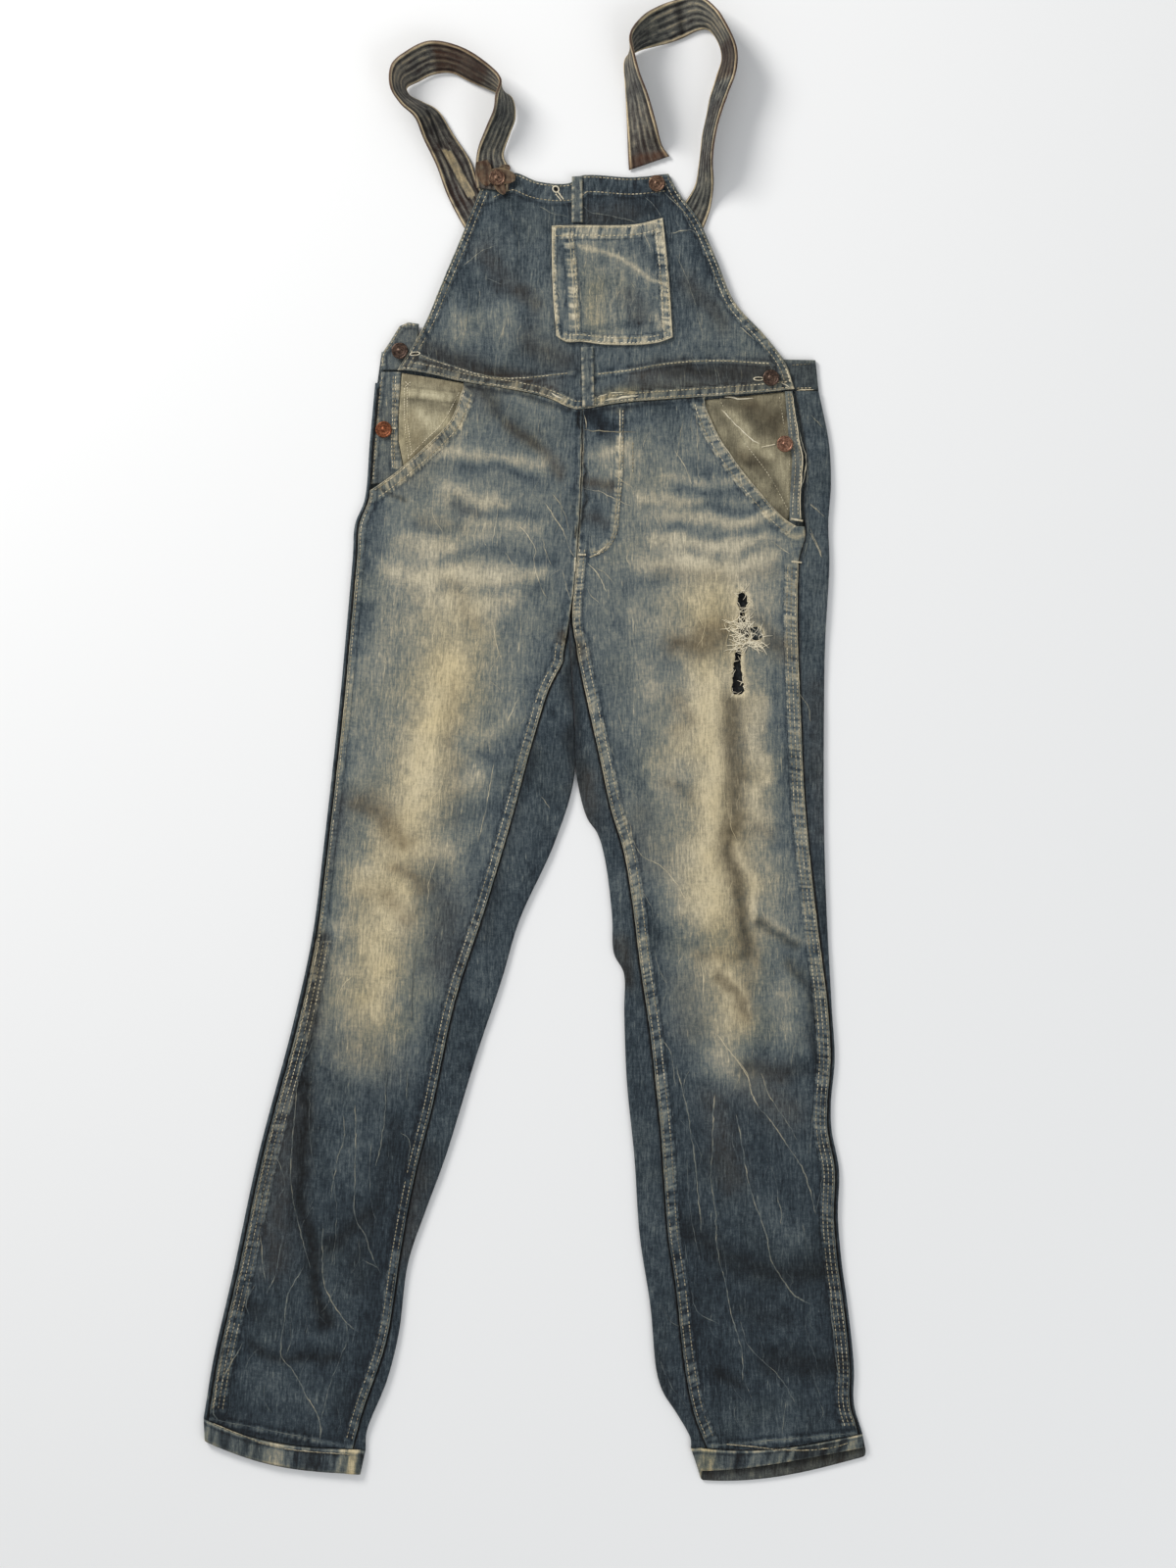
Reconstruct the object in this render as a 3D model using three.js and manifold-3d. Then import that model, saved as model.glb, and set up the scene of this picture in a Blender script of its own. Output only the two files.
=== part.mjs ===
// Worn denim dungarees laid out flat on their back, front up. Millimetres.
// +X runs to the wearer's left, +Y from the hems towards the straps, +Z up from the surface they lie on.
// "right" and "left" in the names are the wearer's. The origin is under the middle of the whole garment.
import * as THREE from "three";
import { mergeVertices } from "three/addons/utils/BufferGeometryUtils.js";
import Module from "manifold-3d";

const wasm = await Module();
wasm.setup();

// ---------------------------------------------------------------- driving dimensions
const CLOTH = 1.5; // one layer of denim with its face and wear
const HEM_CLOTH = 2; // the hem is turned twice
const STRAP_CLOTH = 2.4; // the straps are two layers
const SEAM = 0.4; // clear space between pieces sewn to each other
const LEG_GAP = 1.6; // air between the layers of a leg
const HIP_GAP = 2.7; // air between the layers at the hips, which holds facings and plackets
const HIP_FROM = 60; // the air grows from the leg's to the hips' between these two heights
const HIP_TO = 135;
const CROTCH_TOP = 97; // above this the back ends at its centre seam, under the front
const CROTCH_FOOT = 84; // below this it comes round the inner edge to the inseam
const RISE_ROWS = 6; // sections above the crotch
const LEG_ROWS = 18; // sections below it
const FOLD_STEPS = 4; // facets round a side fold
const FLOOR_STEPS = 4; // facets across the layer on the floor
const LIP = 2.4; // above the crotch only the seam allowance of the back turns up
const BIB_FOOT = 327; // the bib's underside rises from the hips' level to its own between these heights
const BIB_OVER_YOKE = 386;
const BIB_HIGH = 4.7; // underside of the bib where it lies on the yoke and the straps' ends
const BIB_LOW = 0.5; // and the level it comes down to past its top edge
const BIB_DROP_FROM = 498;
const BIB_DROP_TO = 545;
const CELL = [17, 44]; // facets of a sheet, across and along
const SMALL_CELL = [17, 17];
const PRISM_HEIGHT = 60; // tall enough to cut any layer
const LAPPED_TOP = CLOTH + HIP_GAP - SEAM; // highest level of what lies between two layers
const LAPPED_UNDER = LAPPED_TOP - CLOTH;
const BUTTON_RADIUS = 8;
const BUTTON_SIDES = 20;

// ---------------------------------------------------------------- lines of the cut, from top to bottom
const RIGHT_LEG = {
  // side edge of the leg
  outer: [
    [-149, 334.6], [-154, 280], [-159, 225], [-168, 202], [-170, 172], [-176, 104], [-183, 29],
    [-197, -97], [-208, -184], [-226, -266], [-259, -391], [-283, -503], [-301, -582], [-310, -636],
  ],
  // edge between the legs, with the centre back seam above the crotch
  inner: [
    [33.5, 331], [33.5, 97], [37.6, 20], [37.6, -36], [19, -97], [-14, -170], [-30, -224], [-54, -296],
    [-83, -391], [-101, -440], [-118, -490], [-127, -557], [-138, -601], [-157, -649], [-158, -666],
  ],
  // side seam of the front panel
  sideSeam: [
    [-144.5, 334.6], [-149.5, 280], [-154.5, 225], [-163.5, 202], [-165.5, 172], [-171.5, 104],
    [-178.5, 29], [-192.5, -97], [-203.5, -184], [-221, -266], [-254, -391], [-278, -503],
    [-296, -582], [-305, -636],
  ],
  // centre front seam, then inseam
  frontSeam: [
    [45, 331], [45, 300], [44, 242], [41, 185], [37, 140], [33.6, 117], [33, 97], [30, 84], [27, 74],
    [14, 48], [-1, 0], [-21, -74], [-44, -152], [-74, -244], [-96, -346], [-112, -409], [-125, -478],
    [-139, -565], [-161, -630], [-171, -666],
  ],
  hem: { outer: [-309, -657], inner: [-163, -689], raised: 0 },
};
const LEFT_LEG = {
  outer: [
    [267, 326.6], [276.5, 279], [278.5, 240], [276, 203], [277, 166], [273, 90], [272, 26],
    [272, -74], [274, -150], [279, -247], [282, -300], [278.5, -340], [279, -365], [286, -403],
    [285, -447], [289, -494], [293, -522], [300, -588], [300, -622], [308, -650],
  ],
  inner: [
    [34.1, 331], [34.1, 97], [38.2, 20], [38.2, 0], [40.5, -38], [50, -74], [59, -87], [66, -110],
    [73, -164], [75, -201], [84, -218], [84.5, -256], [87, -321], [94, -391], [99, -465], [109, -531],
    [115, -593], [121, -612], [134, -632], [147, -656], [147, -664],
  ],
  sideSeam: [
    [244, 326.6], [252, 281], [255, 262], [252, 222], [254, 190], [248, 168], [247, 110], [250, 26],
    [253, -44], [257, -94], [263, -150], [270, -207], [275, -247], [278, -300], [275, -340],
    [275, -365], [282, -403], [281, -447], [285, -494], [289, -522], [296, -588], [296, -622],
    [304, -650],
  ],
  frontSeam: [
    [45.6, 331], [45.6, 300], [44.6, 242], [41.6, 185], [37.6, 140], [34.2, 117], [34.4, 97],
    [37.6, 84], [40.5, 74], [50, 36], [62, -18], [72, -64], [84, -104], [92, -150], [99, -207],
    [109, -275], [114, -321], [119, -367], [122, -411], [126, -465], [133, -512], [138, -559],
    [143, -597], [150, -631], [163, -664],
  ],
  hem: { outer: [311, -672], inner: [156, -694], raised: 9 },
};
// what the waist seam takes off the top of the fronts, its lower edge from the wearer's right to left
const WAIST_CUT = [
  [-160, 346], [-120, 346], [-95, 342], [-70, 336], [-38, 330.5], [-13, 326.5], [11.5, 320.5],
  [38, 309.5], [48, 310], [81, 315.5], [126, 319], [173, 322], [211, 325], [245, 328.5], [290, 330],
  [290, 370], [-160, 370],
];
// where the four seams of the crotch meet
const CROTCH_CUT = [[27.2, 80], [31, 101], [37.4, 101], [40.8, 80]];
// what is cut from each front's corner for its slant pocket
const RIGHT_POCKET_CUT = [
  [-160, 232], [-150, 235], [-133, 248], [-114, 264], [-91, 285], [-78, 300], [-66, 331], [-66, 360],
  [-160, 360],
];
const LEFT_POCKET_CUT = [
  [160, 340], [160, 316], [163, 307], [173, 285], [194, 254], [212, 232], [234, 208], [246, 200],
  [262, 200], [262, 340],
];
const BIB = [
  [-48, 521], [-25, 531], [-16, 531.5], [4, 523.5], [33, 522], [44, 529], [93, 527.5], [126, 531],
  [136, 512], [153, 489], [171, 450], [188, 410], [217, 378], [236, 352], [244, 328.8], [211, 325.4],
  [173, 322.4], [126, 319.4], [81, 315.9], [48, 310.4], [38, 309.9], [11.5, 320.9], [-13, 326.9],
  [-38, 330.9], [-70, 336.4], [-95, 342.4], [-120, 346.4], [-128, 346.4], [-103, 388], [-87, 426],
  [-69, 469],
];
const BIB_POCKET = [
  [16.6, 481], [38, 481.7], [95, 482.5], [120.5, 488.5], [124, 457], [126.5, 431], [130, 377],
  [119, 372.6], [102, 370], [66, 370], [44, 372.6], [30, 372.6], [21, 378], [17.5, 425],
];
const BIB_PLACKET_TOP = [[35.5, 528], [35.5, 484.5], [45.5, 484.5], [45.5, 528.5]];
const BIB_PLACKET_LOW = [[44, 368], [45.5, 312], [56.5, 312.8], [55.5, 368]];
const WAIST_TAB = [
  [-108, 390], [-118, 391.4], [-126, 388], [-135, 373.5], [-143, 361.6], [-143.5, 347], [-108, 346.8],
];
const RIGHT_FACING = [
  [-124, 344], [-62, 334], [-62, 318], [-82, 283], [-108, 258], [-121, 250], [-127, 280], [-127, 305],
];
const RIGHT_SIDE_PLACKET = [
  [-143, 345], [-124.5, 345], [-127.5, 305], [-127.5, 280], [-121.5, 249.6], [-130, 240], [-153, 240],
  [-150, 280], [-145, 334],
];
const LEFT_FACING = [
  [156, 318], [236, 326.5], [243, 281], [246, 262], [243, 224], [236, 196], [222, 206], [203, 232],
  [184, 257], [165, 283],
];
const LEFT_SIDE_PLACKET = [
  [235, 326.6], [242, 326.8], [249, 281], [252, 262], [249.5, 222], [250.5, 205], [239.5, 205],
  [239.5, 222], [242, 262], [239, 281],
];
const YOKE = [[-58, 363], [-28, 470], [130, 470], [205, 357.8]];
// worn-through places on the front of the left thigh
const RIP = [
  [[190, 88], [193, 84], [195, 66], [196, 44], [186, 43], [187, 62], [188, 80]],
  [
    [193, 139], [199, 136], [200, 128], [196, 116], [199, 104], [194, 95], [192, 106], [193, 118],
    [191, 130],
  ],
  [[203, 104], [208, 106], [214, 102], [213, 95], [205, 94]],
];
// back waistband: outer fold at each side, from top to bottom
const BAND_LEFT = [[264, 356], [267, 327]];
const BAND_RIGHT = [[-143, 364], [-147, 335]];
const BAND_LAP_X = 205; // how far the band's left end laps under the bib

// The largest folds: route, height and half width. A negative height is a trough.
const FOLDS = [
  { route: [[-158, -124], [-112, -157]], height: 1.7, width: 24 },
  { route: [[-168, -158], [-120, -190]], height: -1.1, width: 18 },
  {
    route: [[-206, -186], [-208, -276], [-217, -391], [-208, -495], [-195, -548]],
    height: -1.2,
    width: 16,
  },
  { route: [[-232, -420], [-222, -500], [-214, -560]], height: 1.6, width: 22 },
  { route: [[-268, -570], [-232, -583], [-178, -565]], height: 1.5, width: 18 },
  { route: [[199, 30], [199, -82], [186, -133], [199, -184], [212, -212]], height: -1.2, width: 15 },
  { route: [[216, 20], [222, -90], [218, -170]], height: 1.5, width: 24 },
  { route: [[213, -171], [243, -195]], height: 1.7, width: 18 },
  { route: [[205, -309], [240, -318], [268, -317]], height: -1.1, width: 14 },
  { route: [[180, -565], [240, -592], [292, -575]], height: 1.6, width: 20 },
];
const FOLD_LIMIT = 2.1; // folds that cross don't add up past this

// Strap stations [x, y, z of one edge, x, y, z of the other edge], each along the middle of the cloth.
const RIGHT_STRAP = [
  [-54, 517, 7, -24, 513.5, 7.2], [-55, 533, 5.6, -23, 534.5, 5.6], [-52.5, 552, 11, -28.5, 547.5, 3],
  [-44, 570.5, 24, -23, 567.5, 1.8], [-37, 586, 29, -17.5, 584, 1.8], [-35, 599, 31, -21, 602, 1.8],
  [-31, 614, 31, -34, 607, 1.8], [-50, 634, 28, -60, 617.5, 1.8], [-73.5, 647, 25, -77, 625.5, 1.8],
  [-98.5, 651, 22, -94.5, 624, 1.8], [-119, 641, 24, -108, 617.5, 1.8], [-132, 628, 28, -119.5, 611, 1.8],
  [-133, 607, 29, -117, 604, 1.8], [-124, 592, 26, -104, 597.5, 1.8], [-111, 580, 24, -90, 590, 1.8],
  [-103, 561, 20, -75.5, 567.5, 1.8], [-91, 536.5, 12, -60, 544, 1.8], [-82, 512, 4, -51.5, 521, 1.5],
  [-71, 490, 1.7, -40, 502, 1.7], [-60, 471, 3.1, -27, 485, 3.1], [-49, 450, 3.1, -16, 464, 3.1],
];
const LEFT_STRAP = [
  [127, 547.5, 2, 89, 534.5, 1.4], [120.5, 556.5, 4, 88, 552, 1.6], [114, 575, 20, 87.5, 573, 1.8],
  [106.5, 599, 28, 86.5, 597, 1.8], [98.5, 619, 31, 85.5, 617, 1.8], [93.5, 636, 33, 86, 638, 1.8],
  [90, 655, 33, 97, 646, 1.8], [101, 673, 26, 113, 650.5, 1.8], [117, 685.5, 15, 128, 654, 1.8],
  [135, 693.5, 8, 140, 658.5, 1.8], [152, 696, 14, 153.5, 665, 1.8], [168.5, 681, 29, 163, 666, 1.8],
  [179, 664, 33, 171.5, 657, 1.8], [188.5, 643, 32, 176.5, 639.5, 1.8], [188.5, 623, 30, 171, 621, 1.8],
  [181, 601.5, 30, 165.5, 603.5, 1.8], [174.5, 583.5, 32, 162, 585, 1.8], [169.5, 565, 33, 158, 566, 1.8],
  [166.5, 543, 29, 155.5, 543, 1.7], [168, 518, 11, 151, 520, 1.6], [165, 497, 2, 138, 500, 1.6],
  [156, 473.5, 2.8, 123, 484, 2.8], [144, 451, 3.1, 111, 462, 3.1],
];
const STRAP_CURVE_STEPS = 2; // facets between two stations

// Button centres, with the level of the cloth that each is sewn on
const BUTTONS = {
  button_bib_right: [-34.5, 526, 8],
  button_bib_left: [115, 521, 6.8],
  button_waist_right: [-125.7, 364.3, 6.4],
  button_waist_left: [222, 339, 6.4],
  button_hip_right: [-140.8, 290.7, 4.4],
  button_hip_left: [235, 277, 6.4],
};

// ---------------------------------------------------------------- materials
const finish = (color, roughness, metalness) =>
  new THREE.MeshStandardMaterial({ color, roughness, metalness });
const denim = finish(0x5d6a72, 0.9, 0);
const denimInside = finish(0x6f7778, 0.92, 0);
const bibDenim = finish(0x4b5a68, 0.9, 0);
const pocketDenim = finish(0x88907f, 0.92, 0);
const facingCloth = finish(0xa09a80, 0.92, 0);
const webbing = finish(0x5a615e, 0.9, 0);
const buttonMetal = finish(0x7a5340, 0.55, 0.7);

// ---------------------------------------------------------------- shape helpers
const smooth = (t) => {
  const c = Math.min(1, Math.max(0, t));
  return c * c * (3 - 2 * c);
};
const mix = (a, b, t) => a + (b - a) * t;
const distance = (a, b) => Math.hypot(a[0] - b[0], a[1] - b[1]);
const evenly = (from, to, count) => Array.from({ length: count + 1 }, (_, i) => mix(from, to, i / count));

// X of a line of the cut at a height; the line runs from top to bottom.
function xAt(line, y) {
  const below = line.findIndex((p) => p[1] <= y);
  if (below === 0) return line[0][0];
  if (below < 0) return line[line.length - 1][0];
  const [[x0, y0], [x1, y1]] = [line[below - 1], line[below]];
  return mix(x0, x1, (y - y0) / (y1 - y0));
}

function distanceToRoute(route, x, y) {
  let least = Infinity;
  for (let i = 1; i < route.length; i++) {
    const [[x0, y0], [x1, y1]] = [route[i - 1], route[i]];
    const [dx, dy] = [x1 - x0, y1 - y0];
    const t = Math.min(1, Math.max(0, ((x - x0) * dx + (y - y0) * dy) / (dx * dx + dy * dy)));
    least = Math.min(least, Math.hypot(x - x0 - t * dx, y - y0 - t * dy));
  }
  return least;
}

// Underside of the front layer of the legs and hips.
function frontUnder(x, y) {
  const gap = mix(LEG_GAP, HIP_GAP, smooth((y - HIP_FROM) / (HIP_TO - HIP_FROM)));
  const fold = FOLDS.reduce(
    (sum, f) => sum + f.height * Math.exp(-((distanceToRoute(f.route, x, y) / f.width) ** 2)), 0);
  return CLOTH + gap + Math.max(-FOLD_LIMIT / 2, Math.min(FOLD_LIMIT, fold));
}

// Underside of the bib: it lies on the straps' ends and the yoke, and comes down towards its top edge.
function bibUnder(x, y) {
  const low = mix(BIB_HIGH, BIB_LOW, smooth((y - BIB_DROP_FROM) / (BIB_DROP_TO - BIB_DROP_FROM)));
  return mix(CLOTH + HIP_GAP, low, smooth((y - BIB_FOOT) / (BIB_OVER_YOKE - BIB_FOOT)));
}
const overBib = (x, y) => bibUnder(x, y) + CLOTH + SEAM;

// A closed wall between two skins of the same rows and columns; a ring's last column meets its first.
function wall(lower, upper, ring = false) {
  const rows = lower.length;
  const columns = lower[0].length;
  const at = (skin, r, c) => (skin * rows + r) * columns + (c % columns);
  const index = [];
  const quad = (a, b, c, d) => index.push(a, b, c, a, c, d);
  const spans = ring ? columns : columns - 1;
  for (let c = 0; c < spans; c++) {
    for (let r = 0; r < rows - 1; r++) {
      quad(at(1, r, c), at(1, r, c + 1), at(1, r + 1, c + 1), at(1, r + 1, c));
      quad(at(0, r, c), at(0, r + 1, c), at(0, r + 1, c + 1), at(0, r, c + 1));
    }
    quad(at(0, 0, c), at(0, 0, c + 1), at(1, 0, c + 1), at(1, 0, c));
    quad(at(1, rows - 1, c), at(1, rows - 1, c + 1), at(0, rows - 1, c + 1), at(0, rows - 1, c));
  }
  for (let r = 0; r < rows - 1 && !ring; r++) {
    quad(at(0, r, 0), at(1, r, 0), at(1, r + 1, 0), at(0, r + 1, 0));
    quad(at(1, r, spans), at(0, r, spans), at(0, r + 1, spans), at(1, r + 1, spans));
  }
  return facingOut([...lower, ...upper].flat(2), index);
}

// Geometry from positions and triangles, turned so that its faces point out.
function facingOut(positions, index) {
  const p = (i) => new THREE.Vector3().fromArray(positions, 3 * i);
  let volume = 0;
  for (let i = 0; i < index.length; i += 3) {
    volume += p(index[i]).dot(p(index[i + 1]).cross(p(index[i + 2])));
  }
  const outward = volume > 0 ? index : index.slice().reverse();
  const geometry = new THREE.BufferGeometry();
  geometry.setAttribute("position", new THREE.Float32BufferAttribute(positions, 3));
  return geometry.setIndex(outward);
}

function solidOf(geometry) {
  const bare = geometry.clone();
  bare.deleteAttribute("normal");
  bare.deleteAttribute("uv");
  const merged = mergeVertices(bare, 1e-4);
  return new wasm.Manifold(new wasm.Mesh({
    numProp: 3,
    vertProperties: merged.attributes.position.array,
    triVerts: new Uint32Array(merged.index.array),
  }));
}

function geometryOf(solid) {
  const { vertProperties, triVerts } = solid.getMesh();
  const geometry = new THREE.BufferGeometry();
  geometry.setAttribute("position", new THREE.BufferAttribute(vertProperties, 3));
  return geometry.setIndex(new THREE.BufferAttribute(triVerts, 1));
}

// An upright prism of an outline.
function prism(outline) {
  const shape = new THREE.Shape(outline.map(([x, y]) => new THREE.Vector2(x, y)));
  const geometry = new THREE.ExtrudeGeometry(shape, { depth: PRISM_HEIGHT, bevelEnabled: false });
  return solidOf(geometry.translate(0, 0, -PRISM_HEIGHT / 2));
}

// A sheet of cloth over an outline, its underside at the height that under(x, y) gives, less the cuts.
function panel(outline, under, cuts = [], cell = CELL) {
  const xs = outline.map((p) => p[0]);
  const ys = outline.map((p) => p[1]);
  const [x0, x1] = [Math.min(...xs) - 1, Math.max(...xs) + 1];
  const [y0, y1] = [Math.min(...ys) - 1, Math.max(...ys) + 1];
  const columns = evenly(x0, x1, Math.max(2, Math.ceil((x1 - x0) / cell[0])));
  const rows = evenly(y0, y1, Math.max(2, Math.ceil((y1 - y0) / cell[1])));
  const skin = (lift) => rows.map((y) => columns.map((x) => [x, y, under(x, y) + lift]));
  const sheet = solidOf(wall(skin(0), skin(CLOTH)));
  const kept = sheet.intersect(prism(outline));
  return geometryOf(cuts.reduce((solid, cut) => solid.subtract(prism(cut)), kept));
}

// ---------------------------------------------------------------- legs
// Where a row across the leg crosses a line of the cut.
function crossing(line, row) {
  const slope = (row.inner[1] - row.outer[1]) / (row.inner[0] - row.outer[0]);
  let y = (row.outer[1] + row.inner[1]) / 2;
  let x = 0;
  for (let i = 0; i < 6; i++) {
    x = xAt(line, y);
    y = row.outer[1] + slope * (x - row.outer[0]);
  }
  return [x, y];
}

// Rows across a leg from the waist to the hem seam, with one at each end of the crotch.
function legRows(leg) {
  const ends = (line) => [line[0][1], line[line.length - 1][1]];
  const [outerTop, outerBottom] = ends(leg.outer);
  const [innerTop, innerBottom] = ends(leg.inner);
  const rise = evenly(innerTop, CROTCH_TOP, RISE_ROWS);
  const heights = [...rise, ...evenly(CROTCH_FOOT, innerBottom, LEG_ROWS)];
  return heights.map((yi) => {
    const yo = mix(outerTop, outerBottom, (innerTop - yi) / (innerTop - innerBottom));
    return { outer: [xAt(leg.outer, yo), yo], inner: [xAt(leg.inner, yi), yi] };
  });
}

// One skin of a layer that lies on the floor between two points and turns up and over at its ends.
// inset is how far the skin is inside the outer face; each side gives its height and where its lap ends,
// and a side that is left out ends flat.
function wrappedSkin(row, inset, outerSide, innerSide) {
  const [dx, dy] = [row.inner[0] - row.outer[0], row.inner[1] - row.outer[1]];
  const length = Math.hypot(dx, dy);
  const place = (s, z) => [row.outer[0] + (dx / length) * s, row.outer[1] + (dy / length) * s, z];
  const side = (edge, way, { height, lap }) => {
    const radius = height / 2;
    const points = [place(lap, height - inset), place(mix(lap, edge + way * radius, 0.5), height - inset)];
    for (let i = 0; i <= FOLD_STEPS; i++) {
      const angle = Math.PI * (0.5 + i / FOLD_STEPS);
      const reach = (radius - inset) * Math.cos(angle);
      points.push(place(edge + way * (radius + reach), radius + (radius - inset) * Math.sin(angle)));
    }
    return points;
  };
  const start = side(0, 1, outerSide);
  const end = innerSide ? side(length, -1, innerSide).reverse() : [place(length, inset)];
  const [from, to] = [outerSide.height / 2, innerSide ? length - innerSide.height / 2 : length];
  const floor = evenly(from, to, FLOOR_STEPS).slice(1, -1).map((s) => place(s, inset));
  return [...start, ...floor, ...end];
}

// Back of a leg: it lies on the floor and comes round both edges to the seams of the front.
function backLeg(leg) {
  const skin = (inset) => legRows(leg).map((row) => {
    const side = crossing(leg.sideSeam, row);
    const front = crossing(leg.frontSeam, row);
    const length = distance(row.outer, row.inner);
    const below = row.inner[1] < CROTCH_TOP;
    const outerSide = { height: frontUnder(...row.outer) + CLOTH, lap: distance(row.outer, side) - SEAM };
    const innerSide = below
      ? { height: frontUnder(...row.inner) + CLOTH, lap: distance(row.outer, front) + SEAM }
      : { height: 2 * CLOTH + SEAM / 2, lap: length - LIP };
    return wrappedSkin(row, inset, outerSide, innerSide);
  });
  return wall(skin(CLOTH), skin(0));
}

// Front of a leg up to the waist seam, with its slant pocket and any worn holes cut out.
function frontLeg(leg, cuts) {
  const rows = legRows(leg);
  const side = rows.map((row) => crossing(leg.sideSeam, row));
  const front = rows.map((row) => crossing(leg.frontSeam, row));
  return panel([...side, ...front.reverse()], frontUnder, [WAIST_CUT, CROTCH_CUT, ...cuts]);
}

// The hem is a ring that continues the leg's tube; a raised front edge shows the inside of the back.
function hem(leg) {
  const rows = legRows(leg);
  const last = rows[rows.length - 1];
  const below = ([x, y]) => [x, y - SEAM];
  const top = { outer: below(last.outer), inner: below(last.inner) };
  const ringSkin = (row, t, inset) => {
    const height = frontUnder(...row.outer) + HEM_CLOTH;
    const farLap = distance(row.outer, row.inner) - height;
    const points = wrappedSkin(row, inset, { height, lap: height }, { height, lap: farLap });
    const frontStart = points[points.length - 1];
    const frontEnd = points[0];
    const front = [1, 2, 3].map((i) => frontStart.map((v, k) => mix(v, frontEnd[k], i / 4)));
    return [...points, ...front].map(([x, y, z]) => {
      const turned = smooth((z - inset) / (height - 2 * inset));
      return [x, y + t * turned * leg.hem.raised, z];
    });
  };
  const skin = (inset) => [0, 0.5, 1].map((t) => {
    const row = {
      outer: [mix(top.outer[0], leg.hem.outer[0], t), mix(top.outer[1], leg.hem.outer[1], t)],
      inner: [mix(top.inner[0], leg.hem.inner[0], t), mix(top.inner[1], leg.hem.inner[1], t)],
    };
    return ringSkin(row, t, inset);
  });
  return wall(skin(HEM_CLOTH), skin(0), true);
}

// Back waistband: it comes round the left side and laps under the bib's corner.
function waistband() {
  const skin = (inset) => [0, 1].map((i) => {
    const row = { outer: BAND_LEFT[i], inner: BAND_RIGHT[i] };
    return wrappedSkin(row, inset, { height: LAPPED_TOP, lap: row.outer[0] - BAND_LAP_X });
  });
  return wall(skin(CLOTH), skin(0));
}

// ---------------------------------------------------------------- straps and buttons
function strap(stations) {
  const edge = (from) => new THREE.CatmullRomCurve3(
    stations.map((s) => new THREE.Vector3(s[from], s[from + 1], s[from + 2])), false, "centripetal");
  const [a, b] = [edge(0), edge(3)];
  const count = (stations.length - 1) * STRAP_CURVE_STEPS;
  const rows = Array.from({ length: count + 1 }, (_, i) => [a.getPoint(i / count), b.getPoint(i / count)]);
  const skin = (way) => rows.map(([p, q], i) => {
    const [before, after] = [rows[Math.max(0, i - 1)], rows[Math.min(count, i + 1)]];
    const along = after[0].clone().add(after[1]).sub(before[0]).sub(before[1]);
    const across = q.clone().sub(p);
    const out = along.cross(across).setLength((way * STRAP_CLOTH) / 2);
    return [0, 0.5, 1].map((t) => p.clone().lerp(q, t).add(out).toArray());
  });
  return wall(skin(-1), skin(1));
}

// A shank button seen from above: a rolled rim round a dished face, on a short stem.
const BUTTON_PROFILE = [
  [0, 0], [2.2, 0], [2.2, 0.9], [BUTTON_RADIUS - 1, 0.9], [BUTTON_RADIUS, 1.7], [BUTTON_RADIUS - 0.3, 2.5],
  [BUTTON_RADIUS - 1.2, 2.9], [BUTTON_RADIUS - 2.2, 2.4], [2.6, 2.2], [0, 2.6],
];
function button() {
  const profile = BUTTON_PROFILE.map(([r, z]) => new THREE.Vector2(r, z));
  return new THREE.LatheGeometry(profile, BUTTON_SIDES).rotateX(Math.PI / 2);
}

// ---------------------------------------------------------------- the garment
const dungarees = new THREE.Group();
function add(name, geometry, material) {
  const mesh = new THREE.Mesh(geometry, material);
  mesh.name = name;
  dungarees.add(mesh);
  return mesh;
}
const lapped = () => LAPPED_UNDER;
const onFloor = () => 0;

add("back_leg_right", backLeg(RIGHT_LEG), denimInside);
add("back_leg_left", backLeg(LEFT_LEG), denimInside);
add("back_waistband", waistband(), denim);
add("back_yoke", panel(YOKE, onFloor), denim);
add("front_leg_right", frontLeg(RIGHT_LEG, [RIGHT_POCKET_CUT]), denim);
add("front_leg_left", frontLeg(LEFT_LEG, [LEFT_POCKET_CUT, ...RIP]), denim);
add("hem_right", hem(RIGHT_LEG), denim);
add("hem_left", hem(LEFT_LEG), denim);
add("pocket_facing_right", panel(RIGHT_FACING, lapped), facingCloth);
add("pocket_facing_left", panel(LEFT_FACING, lapped), facingCloth);
add("side_placket_right", panel(RIGHT_SIDE_PLACKET, lapped), denim);
add("side_placket_left", panel(LEFT_SIDE_PLACKET, () => LAPPED_TOP + SEAM), denim);
add("waist_tab_right", panel(WAIST_TAB, lapped), denim);
add("bib", panel(BIB, bibUnder, [], SMALL_CELL), bibDenim);
add("bib_pocket", panel(BIB_POCKET, overBib, [], SMALL_CELL), pocketDenim);
add("bib_placket_top", panel(BIB_PLACKET_TOP, overBib, [], SMALL_CELL), bibDenim);
add("bib_placket_low", panel(BIB_PLACKET_LOW, overBib, [], SMALL_CELL), bibDenim);
add("strap_right", strap(RIGHT_STRAP), webbing);
add("strap_left", strap(LEFT_STRAP), webbing);
for (const [name, [x, y, z]] of Object.entries(BUTTONS)) {
  add(name, button(), buttonMetal).position.set(x, y, z);
}

export default dungarees;
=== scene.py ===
"""Worn denim dungarees laid out flat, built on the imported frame.

Sizes and places are in millimetres here and become metres when a mesh is made. Right and left are the
wearer's.
"""
import math

import bmesh
import bpy
import numpy as np
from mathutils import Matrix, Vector
from mathutils.geometry import delaunay_2d_cdt
from mathutils.kdtree import KDTree


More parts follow.
